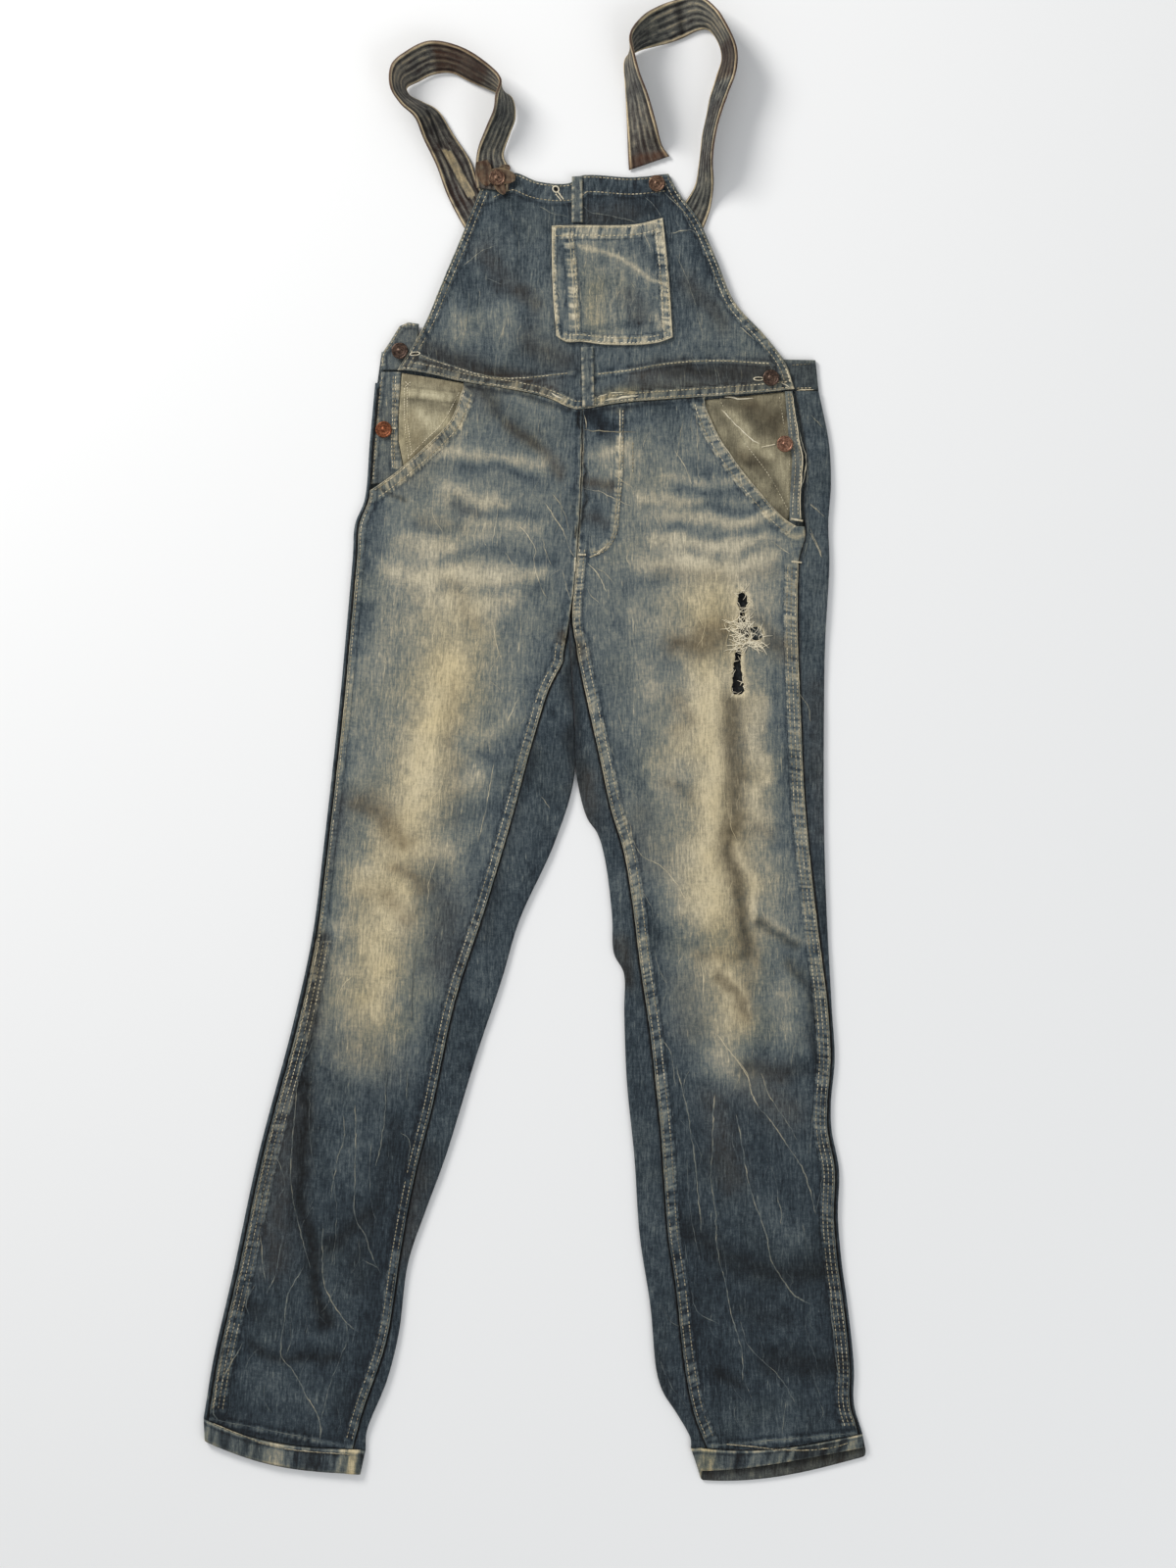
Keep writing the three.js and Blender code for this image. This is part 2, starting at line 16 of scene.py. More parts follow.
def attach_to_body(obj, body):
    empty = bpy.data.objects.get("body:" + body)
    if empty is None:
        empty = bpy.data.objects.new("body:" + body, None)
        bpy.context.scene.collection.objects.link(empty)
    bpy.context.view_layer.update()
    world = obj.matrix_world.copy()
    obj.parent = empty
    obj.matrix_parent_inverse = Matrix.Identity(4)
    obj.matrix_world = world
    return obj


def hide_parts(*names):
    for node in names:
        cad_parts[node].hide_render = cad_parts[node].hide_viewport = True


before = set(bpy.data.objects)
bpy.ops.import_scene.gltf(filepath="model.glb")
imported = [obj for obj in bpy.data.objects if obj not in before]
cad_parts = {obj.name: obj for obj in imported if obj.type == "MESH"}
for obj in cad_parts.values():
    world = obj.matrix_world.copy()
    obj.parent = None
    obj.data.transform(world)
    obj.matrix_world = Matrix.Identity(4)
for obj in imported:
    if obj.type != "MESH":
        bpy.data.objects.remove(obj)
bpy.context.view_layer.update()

MM = 0.001

# ------------------------------ driving sizes
CLOTH = 1.5  # one layer of denim
HEM_CLOTH = 2.0
STRAP_CLOTH = 2.4
SEAM = 0.4  # clear space between pieces sewn to each other
LEG_GAP = 1.6  # air between the layers of a leg
HIP_GAP = 2.7  # air between the layers at the hips
HIP_FROM, HIP_TO = 60, 135  # where the air between the layers grows
CROTCH_TOP, CROTCH_FOOT = 97, 84  # the rows just above and just below the crotch
LAPPED_TOP = CLOTH + HIP_GAP - SEAM  # top of cloth that lies under the front at the hips
LIP = 2.4  # how far the back of a leg turns over along the middle, above the crotch
BIB_CHEST, BIB_TIP = 4.7, 0.5  # air under the bib at the chest and under its top edge
BIB_RISE_FROM, BIB_RISE_TO = 327, 386
BIB_FALL_FROM, BIB_FALL_TO = 498, 545
CREASE_GAIN = 1.5  # how much higher creases stand than their lists say
LEG_TROUGH, BIB_TROUGH = -1.15, -0.6  # the deepest crease that stays clear of the layer beneath
STEP = 2.5  # spacing of a panel's points
FINE = 1.35  # spacing along seams
LEG_STEP = 2.7
ROW_GAP = 3.2  # spacing of the rows across the back of a leg
HEM_ROWS, HEM_FRONT_COLUMNS = 15, 72
BAND_ROWS = 15
STRAP_WIDTH = 36
BUTTON_RADIUS = 8.0
BUTTON_SIDES = 56
UNDERSIDE_SHIFT, INSIDE_SHIFT = 400, 300  # sets the other face of the cloth on its own part of the weave

# ------------------------------ lines of the cut, from top to bottom
RIGHT_LEG = {
    "outer": [
        (-149, 334.6), (-154, 280), (-159, 225), (-168, 202), (-170, 172), (-176, 104), (-183, 29),
        (-197, -97), (-208, -184), (-226, -266), (-259, -391), (-283, -503), (-301, -582), (-310, -636)],
    "inner": [
        (33.5, 331), (33.5, 97), (37.6, 20), (37.6, -36), (19, -97), (-14, -170), (-30, -224), (-54, -296),
        (-83, -391), (-101, -440), (-118, -490), (-127, -557), (-138, -601), (-157, -649), (-158, -666)],
    "side": [
        (-144.5, 334.6), (-149.5, 280), (-154.5, 225), (-163.5, 202), (-165.5, 172), (-171.5, 104),
        (-178.5, 29), (-192.5, -97), (-203.5, -184), (-221, -266), (-254, -391), (-278, -503), (-296, -582),
        (-305, -636)],
    "front": [
        (45, 331), (45, 300), (44, 242), (41, 185), (37, 140), (33.6, 117), (31, 101), (29, 90), (27.2, 80),
        (27, 74), (14, 48), (-1, 0), (-21, -74), (-44, -152), (-74, -244), (-96, -346), (-112, -409),
        (-125, -478), (-139, -565), (-161, -630), (-171, -666)],
    "hem_outer": (-309, -657), "hem_inner": (-163, -689), "raised": 0, "sag": 9.5}
LEFT_LEG = {
    "outer": [
        (267, 326.6), (276.5, 279), (278.5, 240), (276, 203), (277, 166), (273, 90), (272, 26), (272, -74),
        (274, -150), (279, -247), (282, -300), (278.5, -340), (279, -365), (286, -403), (285, -447),
        (289, -494), (293, -522), (300, -588), (300, -622), (308, -650)],
    "inner": [
        (34.1, 331), (34.1, 97), (38.2, 20), (38.2, 0), (40.5, -38), (50, -74), (59, -87), (66, -110),
        (73, -164), (75, -201), (84, -218), (84.5, -256), (87, -321), (94, -391), (99, -465), (109, -531),
        (115, -593), (121, -612), (134, -632), (147, -656), (147, -664)],
    "side": [
        (244, 326.6), (252, 281), (255, 262), (252, 222), (254, 190), (248, 168), (247, 110), (250, 26),
        (253, -44), (257, -94), (263, -150), (270, -207), (275, -247), (278, -300), (275, -340), (275, -365),
        (282, -403), (281, -447), (285, -494), (289, -522), (296, -588), (296, -622), (304, -650)],
    "front": [
        (45.6, 331), (45.6, 300), (44.6, 242), (41.6, 185), (37.6, 140), (36, 117), (37.4, 101), (39.5, 90),
        (40.8, 80), (42, 74), (50, 36), (62, -18), (72, -64), (84, -104), (92, -150), (99, -207),
        (109, -275),
        (114, -321), (119, -367), (122, -411), (126, -465), (133, -512), (138, -559), (143, -597),
        (150, -631), (163, -664)],
    "hem_outer": (311, -672), "hem_inner": (156, -694), "raised": 9, "sag": 7.5}
RIGHT_WAIST = [(-66, 335), (-38, 330.5), (-13, 326.5), (11.5, 320.5), (38, 309.8), (45, 309.8)]
LEFT_WAIST = [(45.6, 309.8), (81, 315.3), (126, 318.8), (160, 321)]
RIGHT_POCKET = [(-153, 234), (-133, 248), (-114, 264), (-91, 285), (-78, 300), (-66, 331), (-66, 335)]
LEFT_POCKET = [(160, 321), (160, 316), (163, 307), (173, 285), (194, 254), (212, 232), (234, 208),
               (246, 200)]
BIB_TOP = [(-48, 521), (-37, 527), (-25, 531), (-16, 531.5), (4, 523.5), (33, 522), (44, 529), (93, 527.5),
           (126, 531)]
BIB_LEFT = [(126, 531), (136, 512), (153, 489), (171, 450), (188, 410), (217, 378), (236, 352), (244, 328.8)]
BIB_WAIST = [
    (244, 328.8), (211, 325.4), (173, 322.4), (126, 319.4), (81, 315.9), (48, 310.4), (38, 309.9),
    (11.5, 320.9), (-13, 326.9), (-38, 330.9), (-70, 336.4), (-95, 342.4), (-120, 346.4), (-128, 346.4)]
BIB_RIGHT = [(-128, 346.4), (-103, 388), (-87, 426), (-69, 469), (-48, 521)]
POCKET_TOP = [(16.6, 481), (38, 481.7), (95, 482.5), (120.5, 488.5)]
POCKET_SIDE = [(120.5, 488.5), (124, 457), (126.5, 431), (130, 377)]
POCKET_FOOT = [(130, 377), (119, 372.6), (102, 370), (66, 370), (44, 372.6), (30, 372.6), (21, 378)]
POCKET_PEN = [(21, 378), (17.5, 425), (16.6, 481)]
PLACKET_TOP = [(35.5, 528), (35.5, 484.5), (45.5, 484.5), (45.5, 528.5)]
PLACKET_LOW = [(44, 368), (45.5, 312), (56.5, 312.8), (55.5, 368)]
WAIST_TAB = [
    (-108, 390), (-118, 391.4), (-126, 388), (-135, 373.5), (-143, 361.6), (-143.5, 347), (-108, 346.8)]
RIGHT_FACING = [
    (-124, 344), (-62, 334), (-62, 318), (-82, 283), (-108, 258), (-121, 250), (-127, 280), (-127, 305)]
RIGHT_SIDE_PLACKET = [
    (-143, 345), (-124.5, 345), (-127.5, 305), (-127.5, 280), (-121.5, 249.6), (-130, 240), (-153, 240),
    (-150, 280), (-145, 334)]
LEFT_FACING = [
    (156, 318), (236, 326.5), (243, 281), (246, 262), (243, 224), (236, 196), (222, 206), (203, 232),
    (184, 257), (165, 283)]
LEFT_SIDE_PLACKET = [
    (235, 326.6), (242, 326.8), (249, 281), (252, 262), (249.5, 222), (250.5, 205), (239.5, 205),
    (239.5, 222), (242, 262), (239, 281)]
YOKE = [(-58, 363), (-28, 470), (130, 470), (205, 357.8)]
RIP = [
    [(191, 88), (193, 84), (194.5, 66), (196, 52), (196.5, 44), (190, 43), (186, 44), (186.5, 56),
     (187, 68), (188.5, 80)],
    [(193, 139), (199, 136), (200, 128), (197, 116), (201, 108), (202, 98), (196, 94), (191, 104),
     (193, 118), (191, 130)],
    [(203, 104), (208, 106), (214, 102), (213, 95), (205, 94)]]
BAND_LEFT = [(264, 356), (267, 327)]
BAND_RIGHT = [(-143, 364), (-147, 335)]
BAND_LAP_X = 205

# strap stations: one edge, then the other edge, along the middle of the cloth
RIGHT_STRAP = [
    (-54, 517, 7, -24, 513.5, 7.2), (-55, 533, 5.6, -23, 534.5, 5.6), (-52.5, 552, 11, -28.5, 547.5, 3),
    (-44, 570.5, 24, -23, 567.5, 1.8), (-37, 586, 29, -17.5, 584, 1.8), (-35, 599, 31, -21, 602, 1.8),
    (-31, 614, 31, -34, 607, 1.8), (-50, 634, 28, -60, 617.5, 1.8), (-73.5, 647, 25, -77, 625.5, 1.8),
    (-98.5, 651, 22, -94.5, 624, 1.8), (-119, 641, 24, -108, 617.5, 1.8), (-132, 628, 28, -119.5, 611, 1.8),
    (-133, 607, 29, -117, 604, 1.8), (-124, 592, 26, -104, 597.5, 1.8), (-111, 580, 24, -90, 590, 1.8),
    (-103, 561, 20, -75.5, 567.5, 1.8), (-91, 536.5, 12, -60, 544, 1.8), (-82, 512, 4, -51.5, 521, 1.5),
    (-71, 490, 1.7, -40, 502, 1.7), (-60, 471, 3.1, -27, 485, 3.1), (-49, 450, 3.1, -16, 464, 3.1)]
LEFT_STRAP = [
    (127, 547.5, 2, 89, 534.5, 1.4), (120.5, 556.5, 4, 88, 552, 1.6), (114, 575, 20, 87.5, 573, 1.8),
    (106.5, 599, 28, 86.5, 597, 1.8), (98.5, 619, 31, 85.5, 617, 1.8), (93.5, 636, 33, 86, 638, 1.8),
    (90, 655, 33, 97, 646, 1.8), (101, 673, 26, 113, 650.5, 1.8), (117, 685.5, 15, 128, 654, 1.8),
    (135, 693.5, 8, 140, 658.5, 1.8), (152, 696, 14, 153.5, 665, 1.8), (168.5, 681, 29, 163, 666, 1.8),
    (179, 664, 33, 171.5, 657, 1.8), (188.5, 643, 32, 176.5, 639.5, 1.8), (188.5, 623, 30, 171, 621, 1.8),
    (181, 601.5, 30, 165.5, 603.5, 1.8), (174.5, 583.5, 32, 162, 585, 1.8), (169.5, 565, 33, 158, 566, 1.8),
    (166.5, 543, 29, 155.5, 543, 1.7), (168, 518, 11, 151, 520, 1.6), (165, 497, 2, 138, 500, 1.6),
    (156, 473.5, 2.8, 123, 484, 2.8), (144, 451, 3.1, 111, 462, 3.1)]

# ------------------------------ folds: route, height and half width
BIG_FOLDS = [
    ([(-158, -124), (-112, -157)], 1.7, 24),
    ([(-168, -158), (-120, -190)], -1.1, 18),
    ([(-206, -186), (-208, -276), (-217, -391), (-208, -495), (-195, -548)], -1.2, 16),
    ([(-232, -420), (-222, -500), (-214, -560)], 1.6, 22),
    ([(-268, -570), (-232, -583), (-178, -565)], 1.5, 18),
    ([(199, 30), (199, -82), (186, -133), (199, -184), (212, -212)], -1.2, 15),
    ([(216, 20), (222, -90), (218, -170)], 1.5, 24),
    ([(213, -171), (243, -195)], 1.7, 18),
    ([(205, -309), (240, -318), (268, -317)], -1.1, 14),
    ([(180, -565), (240, -592), (292, -575)], 1.6, 20)]
FOLD_LIMIT = 2.1
CREASES = [
    # right thigh and knee
    ([(-156, -122), (-135, -132), (-112, -156)], 3.2, 9),
    ([(-132, -119), (-117, -126), (-104, -143)], -1.6, 7),
    ([(-137, -147), (-126, -159), (-118, -170)], -1.4, 7),
    ([(-147, -58), (-133, -78), (-124, -95)], -1.3, 12),
    ([(-168, -41), (-152, -52), (-135, -69)], 1.6, 9), ([(-83, 60), (-76, -5), (-78, -78)], -1.0, 9),
    ([(-92, 51), (-89, -14), (-93, -69)], 1.3, 10), ([(-67, -16), (-41, 5), (-14, 23)], 1.0, 7),
    ([(-71, -47), (-49, -38), (-23, -32)], 0.9, 8), ([(-110, -133), (-97, -161), (-92, -193)], 1.1, 12),
    ([(-198, -133), (-184, -156), (-178, -189)], 1.0, 10),
    ([(-175, -212), (-178, -262), (-184, -317)], 1.2, 12),
    # right lower leg
    ([(-205, -184), (-209, -262), (-215, -327), (-218, -391), (-216, -451), (-209, -497), (-196, -547)],
     -2.2, 8),
    ([(-190, -189), (-194, -262), (-201, -327), (-205, -391), (-203, -446), (-196, -492)], 2.0, 9),
    ([(-225, -327), (-229, -391), (-227, -446)], 1.4, 9),
    ([(-267, -569), (-233, -583), (-189, -575), (-175, -562)], -1.4, 8),
    ([(-262, -555), (-230, -568), (-190, -562)], 1.4, 9), ([(-270, -523), (-255, -538)], -1.2, 8),
    ([(-194, -478), (-178, -466), (-158, -443)], -1.2, 8),
    ([(-184, -423), (-168, -446), (-152, -466)], 1.2, 10),
    # right hip
    ([(-48, 325), (-23, 301), (3, 279), (26, 252)], -1.8, 8), ([(-41, 330), (-14, 308), (14, 284)], 1.2, 8),
    ([(-145, 236), (-133, 230), (-121, 224)], -1.4, 4), ([(-130, 190), (-81, 178), (-41, 183)], 0.8, 8),
    ([(-93, 264), (-46, 268), (6, 256)], 0.8, 7), ([(-85, 233), (-64, 231), (-32, 221)], 0.8, 7),
    ([(-128, 157), (-56, 157), (6, 157)], 0.7, 8),
    # left thigh and knee
    ([(190, 30), (190, -23), (189, -80)], -2.3, 9), ([(204, 37), (207, -23), (203, -83)], 2.2, 9),
    ([(183, -87), (185, -133), (192, -170), (198, -200)], -2.2, 7),
    ([(190, -98), (201, -133), (209, -170)], 2.4, 7),
    ([(175, 51), (173, -23), (175, -87)], 1.1, 12), ([(213, -170), (227, -183), (244, -195)], -2.2, 4),
    ([(216, -161), (235, -174), (248, -184)], 1.6, 7), ([(177, -224), (185, -236), (193, -250)], -1.8, 4),
    ([(187, -216), (196, -230), (205, -247)], 1.6, 6),
    ([(238, -207), (258, -231), (263, -257), (259, -281), (269, -299)], -1.9, 5),
    ([(225, -216), (242, -238), (246, -262), (240, -284)], 1.7, 9),
    ([(205, -308), (235, -316), (270, -310)], -1.6, 7),
    ([(198, -295), (235, -301), (262, -295)], 1.6, 9), ([(124, -40), (137, -49), (148, -58)], -1.2, 6),
    ([(106, -29), (133, -38), (161, -41)], 0.9, 7), ([(143, -202), (170, -205), (189, -212)], -1.0, 8),
    ([(143, 124), (175, 106), (187, 92)], 1.1, 12), ([(207, 106), (225, 95), (239, 80)], -1.2, 8),
    # left lower leg
    ([(144, -455), (175, -481), (204, -499)], -1.8, 9), ([(154, -443), (187, -466), (218, -481)], 1.6, 9),
    ([(179, -586), (235, -579), (297, -571)], -1.5, 11), ([(184, -566), (235, -558), (292, -553)], 1.4, 11),
    ([(168, -592), (181, -595), (194, -604)], -1.5, 6), ([(156, -331), (163, -373), (168, -419)], -1.0, 12),
    ([(212, -432), (235, -466), (258, -492)], 1.2, 12), ([(133, -336), (143, -391), (148, -446)], 1.0, 9),
    # left hip
    ([(103, 224), (133, 224), (156, 223)], 0.7, 7), ([(120, 211), (170, 207), (218, 206)], 0.8, 7),
    ([(117, 189), (179, 183), (225, 190)], 0.8, 7), ([(95, 169), (152, 167), (198, 166)], 0.7, 8)]
BIB_CREASES = [
    ([(-41, 419), (0, 400), (28, 373)], -0.8, 14), ([(-87, 391), (-41, 398), (-5, 391)], 1.0, 16),
    ([(-97, 371), (-51, 352), (14, 334)], -1.2, 8), ([(51, 339), (124, 345), (207, 351)], -1.2, 8),
    ([(-78, 362), (-23, 341), (28, 328)], 0.9, 7), ([(60, 330), (133, 335), (216, 339)], 0.9, 7),
    ([(143, 474), (163, 428), (184, 391)], 0.9, 12), ([(133, 465), (150, 419), (166, 382)], -0.8, 8),
    ([(47, 497), (87, 492), (113, 505)], -1.0, 6), ([(-41, 478), (-28, 454), (-23, 419)], 0.8, 14),
    ([(-60, 465), (-46, 437), (-41, 409)], -0.7, 10), ([(179, 377), (202, 365), (221, 358)], 0.9, 9)]
POCKET_CREASES = [
    ([(41, 466), (67, 457), (87, 448), (117, 431)], 0.9, 2.6),
    ([(87, 469), (101, 459), (124, 454)], 0.7, 2.4),
    ([(76, 459), (77, 419), (77, 377)], 0.6, 2.0), ([(51, 419), (54, 391)], 0.5, 6),
    ([(92, 454), (106, 442), (121, 435)], -0.6, 3)]

# ------------------------------ wear and painted shade: what, strength, half width, route
# fade lightens (or darkens, below zero), tan warms, dirt browns and dark blackens
# dark and dirt strokes in troughs, under edges and in holes are painted shade; a few pale ones are painted
# highlights
FRONT_WEAR_AND_SHADE = [
    # right leg, the long fade
    ("fade", 0.225, 54, [(-73, 124), (-86, 60), (-97, -5), (-120, -78), (-137, -133), (-144, -189),
                         (-151, -267)]),
    ("fade", 0.24, 20, [(-82, 69), (-93, 14), (-108, -41), (-126, -87)]),
    ("fade", 0.26, 15, [(-156, -129), (-135, -141), (-122, -161)]),
    ("fade", 0.20, 18, [(-141, -170), (-147, -225), (-152, -253)]),
    ("tan", 0.70, 38, [(-73, 106), (-89, 32), (-106, -41), (-137, -124), (-144, -189), (-151, -258)]),
    ("fade", 0.14, 15, [(-132, -108), (-106, -104), (-83, -108)]),
    ("fade", 0.10, 8, [(-67, -16), (-41, 5), (-14, 23)]),
    ("fade", 0.10, 9, [(-71, -45), (-49, -39)]), ("fade", 0.12, 16, [(-179, 14), (-168, 51), (-152, 87)]),
    ("fade", 0.13, 12, [(-200, -168), (-184, -174)]),
    ("fade", 0.12, 18, [(-184, -225), (-179, -271), (-174, -304)]),
    ("dark", 0.18, 9, [(-165, -62), (-141, -73), (-124, -93)]),
    ("dirt", 0.85, 13, [(-165, -58), (-152, -58), (-141, -71), (-130, -89), (-122, -95)]),
    # the next two dirt strokes are painted brown shade in the troughs beside the knee's big crease
    ("dirt", 0.75, 7, [(-132, -119), (-117, -127), (-105, -141)]),
    ("dirt", 0.65, 7, [(-137, -147), (-126, -159), (-119, -170)]),
    ("dirt", 0.35, 10, [(-154, -138), (-143, -144)]),
    ("fade", -0.16, 15, [(-97, -129), (-83, -161), (-86, -202)]),
    ("dirt", 0.30, 22, [(-97, -129), (-83, -161), (-87, -212)]),
    # painted brown shade in a crease trough
    ("dirt", 0.28, 8, [(-78, 51), (-75, -14), (-76, -78)]),
    ("fade", -0.14, 12, [(-62, -9), (-37, -18)]), ("fade", -0.12, 14, [(-69, -69), (-41, -64)]),
    ("fade", -0.12, 16, [(-60, -207), (-76, -281)]),
    ("fade", -0.14, 10, [(-183, -62), (-189, -106), (-192, -152)]),
    ("dirt", 0.22, 12, [(-183, -62), (-189, -115)]),
    # painted shade down the shin's long crease trough, here and in the first stroke of the next line
    ("dark", 0.62, 6, [(-203, -184), (-207, -262), (-213, -317)]),
    ("dirt", 0.4, 13, [(-205, -189), (-205, -271)]), ("fade", 0.10, 18, [(-168, -304), (-152, -308)]),
    ("dirt", 0.28, 24, [(-170, -294), (-147, -301)]),
    # right lower leg
    # the next four dark strokes are painted shade in the troughs of creases
    ("dark", 0.78, 8, [(-214, -322), (-218, -391), (-216, -451), (-209, -495), (-197, -545)]),
    ("dark", 0.6, 6, [(-267, -568), (-233, -583), (-189, -575)]),
    ("dark", 0.62, 10, [(-194, -476), (-176, -463), (-159, -446)]),
    ("dark", 0.42, 8, [(-270, -525), (-257, -538)]),
    ("dirt", 0.3, 16, [(-227, -327), (-235, -409), (-247, -492)]),
    ("fade", 0.10, 14, [(-184, -345), (-178, -400)]), ("fade", 0.07, 20, [(-198, -501), (-178, -529)]),
    ("fade", 0.08, 22, [(-248, -603), (-207, -616)]),
    ("dark", 0.35, 9, [(-297, -635), (-260, -650), (-214, -660)]),
    ("fade", 0.07, 12, [(-159, -363), (-165, -409)]),
    ("dark", 0.3, 8, [(-133, -363), (-147, -437), (-168, -511)]),
    # right hip
    ("fade", 0.10, 62, [(-97, 179), (-41, 152)]), ("fade", 0.22, 7, [(-93, 266), (-46, 270), (6, 259)]),
    ("fade", 0.22, 7, [(-87, 233), (-64, 233), (-30, 220)]), ("fade", 0.17, 8, [(-130, 190), (-81, 178)]),
    ("fade", 0.12, 7, [(-55, 203), (-23, 200), (6, 193)]),
    ("fade", 0.17, 8, [(-128, 156), (-97, 152), (-41, 155), (6, 157)]),
    ("fade", 0.10, 9, [(-92, 132), (-60, 124), (-30, 132)]),
    ("fade", -0.17, 6, [(-69, 255), (-36, 259), (-3, 247)]),
    ("fade", -0.12, 6, [(-76, 222), (-46, 214), (6, 209)]),
    ("fade", -0.18, 7, [(-83, 169), (-36, 177), (17, 165)]),
    ("fade", -0.12, 6, [(-115, 201), (-78, 198)]), ("fade", -0.10, 8, [(-83, 141), (-51, 139), (-5, 141)]),
    ("fade", -0.10, 9, [(-23, 106), (5, 143)]), ("fade", 0.08, 9, [(-138, 166), (-148, 106)]),
    ("dirt", 0.40, 7, [(-76, 222), (-51, 215)]), ("dirt", 0.30, 8, [(-106, 205), (-69, 201)]),
    ("dirt", 0.34, 8, [(-76, 140), (-67, 124), (-56, 111)]),
    # painted shade in the hip's diagonal crease, here and in the first dirt stroke of the next line
    ("dark", 0.5, 7, [(-45, 323), (-23, 301), (1, 279)]),
    ("dirt", 0.65, 6, [(-19, 295), (1, 279), (25, 253)]), ("dirt", 0.4, 14, [(-62, 330), (-41, 317)]),
    ("dirt", 0.32, 14, [(-120, 244), (-106, 262), (-86, 281)]),
    # painted shade in a short crease trough
    ("dark", 0.62, 2.4, [(-144, 235), (-132, 229), (-121, 224)]),
    ("fade", -0.16, 14, [(-147, 216), (-154, 161), (-159, 106)]),
    ("fade", 0.17, 6, [(-159, 147), (-154, 138)]),
    ("fade", 0.12, 9, [(-62, 316), (-69, 290), (-76, 270)]), ("fade", 0.08, 14, [(-23, 327), (14, 316)]),
    # left leg, the long fade
    ("fade", 0.28, 52, [(168, 143), (170, 69), (175, -23), (178, -115), (183, -189), (190, -262)]),
    ("fade", 0.20, 18, [(163, 51), (168, -23), (167, -97), (163, -156)]),
    ("fade", 0.22, 11, [(211, 32), (214, -23), (213, -69)]),
    ("tan", 0.64, 34, [(168, 124), (172, 32), (172, -60), (172, -152), (190, -253)]),
    ("fade", 0.22, 13, [(168, -212), (181, -235), (196, -262)]),
    ("fade", 0.16, 20, [(175, -271), (184, -304)]),
    ("fade", 0.24, 5, [(190, -102), (201, -133), (207, -163)]), ("fade", 0.14, 16, [(133, -5), (115, -41)]),
    ("fade", 0.10, 22, [(133, -106), (143, -152)]), ("fade", 0.12, 14, [(101, 106), (108, 51)]),
    # these four lines paint shade down the thigh's two long crease troughs
    ("dark", 0.46, 9, [(189, 30), (190, -23), (189, -80)]),
    ("dirt", 0.6, 14, [(189, 30), (190, -23), (189, -80)]),
    ("dark", 0.58, 8, [(183, -87), (186, -133), (193, -170), (199, -200)]),
    ("dirt", 0.6, 12, [(183, -87), (186, -133), (199, -200)]),
    ("dirt", 0.9, 14, [(135, 89), (156, 91), (181, 106)]),
    ("dark", 0.30, 9, [(137, 87), (161, 90), (183, 97)]),
    # painted shade in a crease trough, on this line and the next
    ("dirt", 0.6, 11, [(209, 109), (222, 98), (235, 84)]),
    ("dark", 0.3, 7, [(209, 109), (222, 98), (235, 84)]),
    ("dirt", 0.45, 9, [(133, 32), (146, 18), (137, 5)]),
    # painted shade in a crease trough
    ("dirt", 0.5, 7, [(154, -200), (170, -201), (187, -205)]),
    ("dirt", 0.4, 8, [(209, -80), (222, -87)]), ("dirt", 0.45, 9, [(203, -212), (200, -239), (192, -264)]),
    # next seven lines: dark and dirt strokes paint shade in crease troughs, pale ones paint highlights on
    # ridges
    ("dark", 0.5, 5, [(213, -170), (227, -182), (245, -195)]),
    ("fade", 0.14, 5, [(220, -167), (235, -178), (249, -189)]),
    ("dark", 0.42, 6, [(173, -220), (185, -236), (195, -255)]), ("dirt", 0.5, 9, [(173, -220), (195, -255)]),
    ("fade", 0.12, 5, [(185, -222), (195, -236), (202, -251)]),
    ("dark", 0.5, 5, [(240, -211), (258, -232), (263, -257), (259, -281), (268, -297)]),
    ("dark", 0.34, 7, [(202, -310), (235, -316), (270, -308)]),
    ("dirt", 0.4, 10, [(202, -310), (235, -316)]),
    # the dark stroke here is painted shade in a crease trough
    ("dark", 0.3, 7, [(128, -41), (146, -56)]), ("fade", -0.12, 10, [(84, -14), (98, -41)]),
    ("fade", -0.14, 13, [(225, -207), (212, -253), (214, -294)]),
    ("fade", 0.10, 12, [(235, -235), (236, -281)]),
    ("fade", -0.10, 14, [(117, -179), (143, -184)]), ("dirt", 0.26, 16, [(143, -225), (148, -271)]),
    ("fade", -0.12, 12, [(225, 51), (231, -23), (235, -97)]),
    ("fade", -0.12, 9, [(109, -152), (117, -189), (121, -235)]),
    ("dirt", 0.25, 18, [(97, -69), (113, -115)]),
    # left lower leg
    ("fade", 0.14, 12, [(175, -304), (198, -322)]), ("dirt", 0.35, 18, [(205, -327), (235, -350)]),
    ("fade", 0.08, 16, [(207, -331), (235, -354)]),
    # the next three dark strokes are painted shade in crease troughs
    ("dark", 0.58, 13, [(147, -457), (179, -485), (225, -500), (271, -501)]),
    ("dark", 0.58, 12, [(225, -582), (271, -584), (301, -577)]),
    ("dark", 0.6, 8, [(170, -590), (190, -603)]),
    ("fade", 0.07, 18, [(264, -336), (257, -391)]), ("fade", 0.08, 14, [(157, -414), (165, -455)]),
    ("dirt", 0.3, 14, [(168, -334), (178, -382), (187, -414)]),
    ("fade", 0.11, 22, [(179, -639), (235, -644)]),
    ("fade", 0.11, 18, [(207, -437), (235, -466)]), ("dark", 0.35, 10, [(198, -529), (235, -543)]),
    ("fade", 0.06, 18, [(133, -336), (137, -400)]), ("dark", 0.3, 8, [(133, -529), (143, -593)]),
    # the pale stretches of the seams
    ("fade", 0.26, 5, [(-130, -486), (-142, -544), (-153, -593), (-167, -644)]),
    ("fade", 0.16, 6, [(117, -317), (137, -492), (144, -589), (166, -660)]),
    ("fade", 0.14, 7, [(-232, -331), (-266, -501), (-293, -589)]),
    ("fade", 0.14, 5, [(51, 51), (87, -97), (109, -225)]),
    # left hip
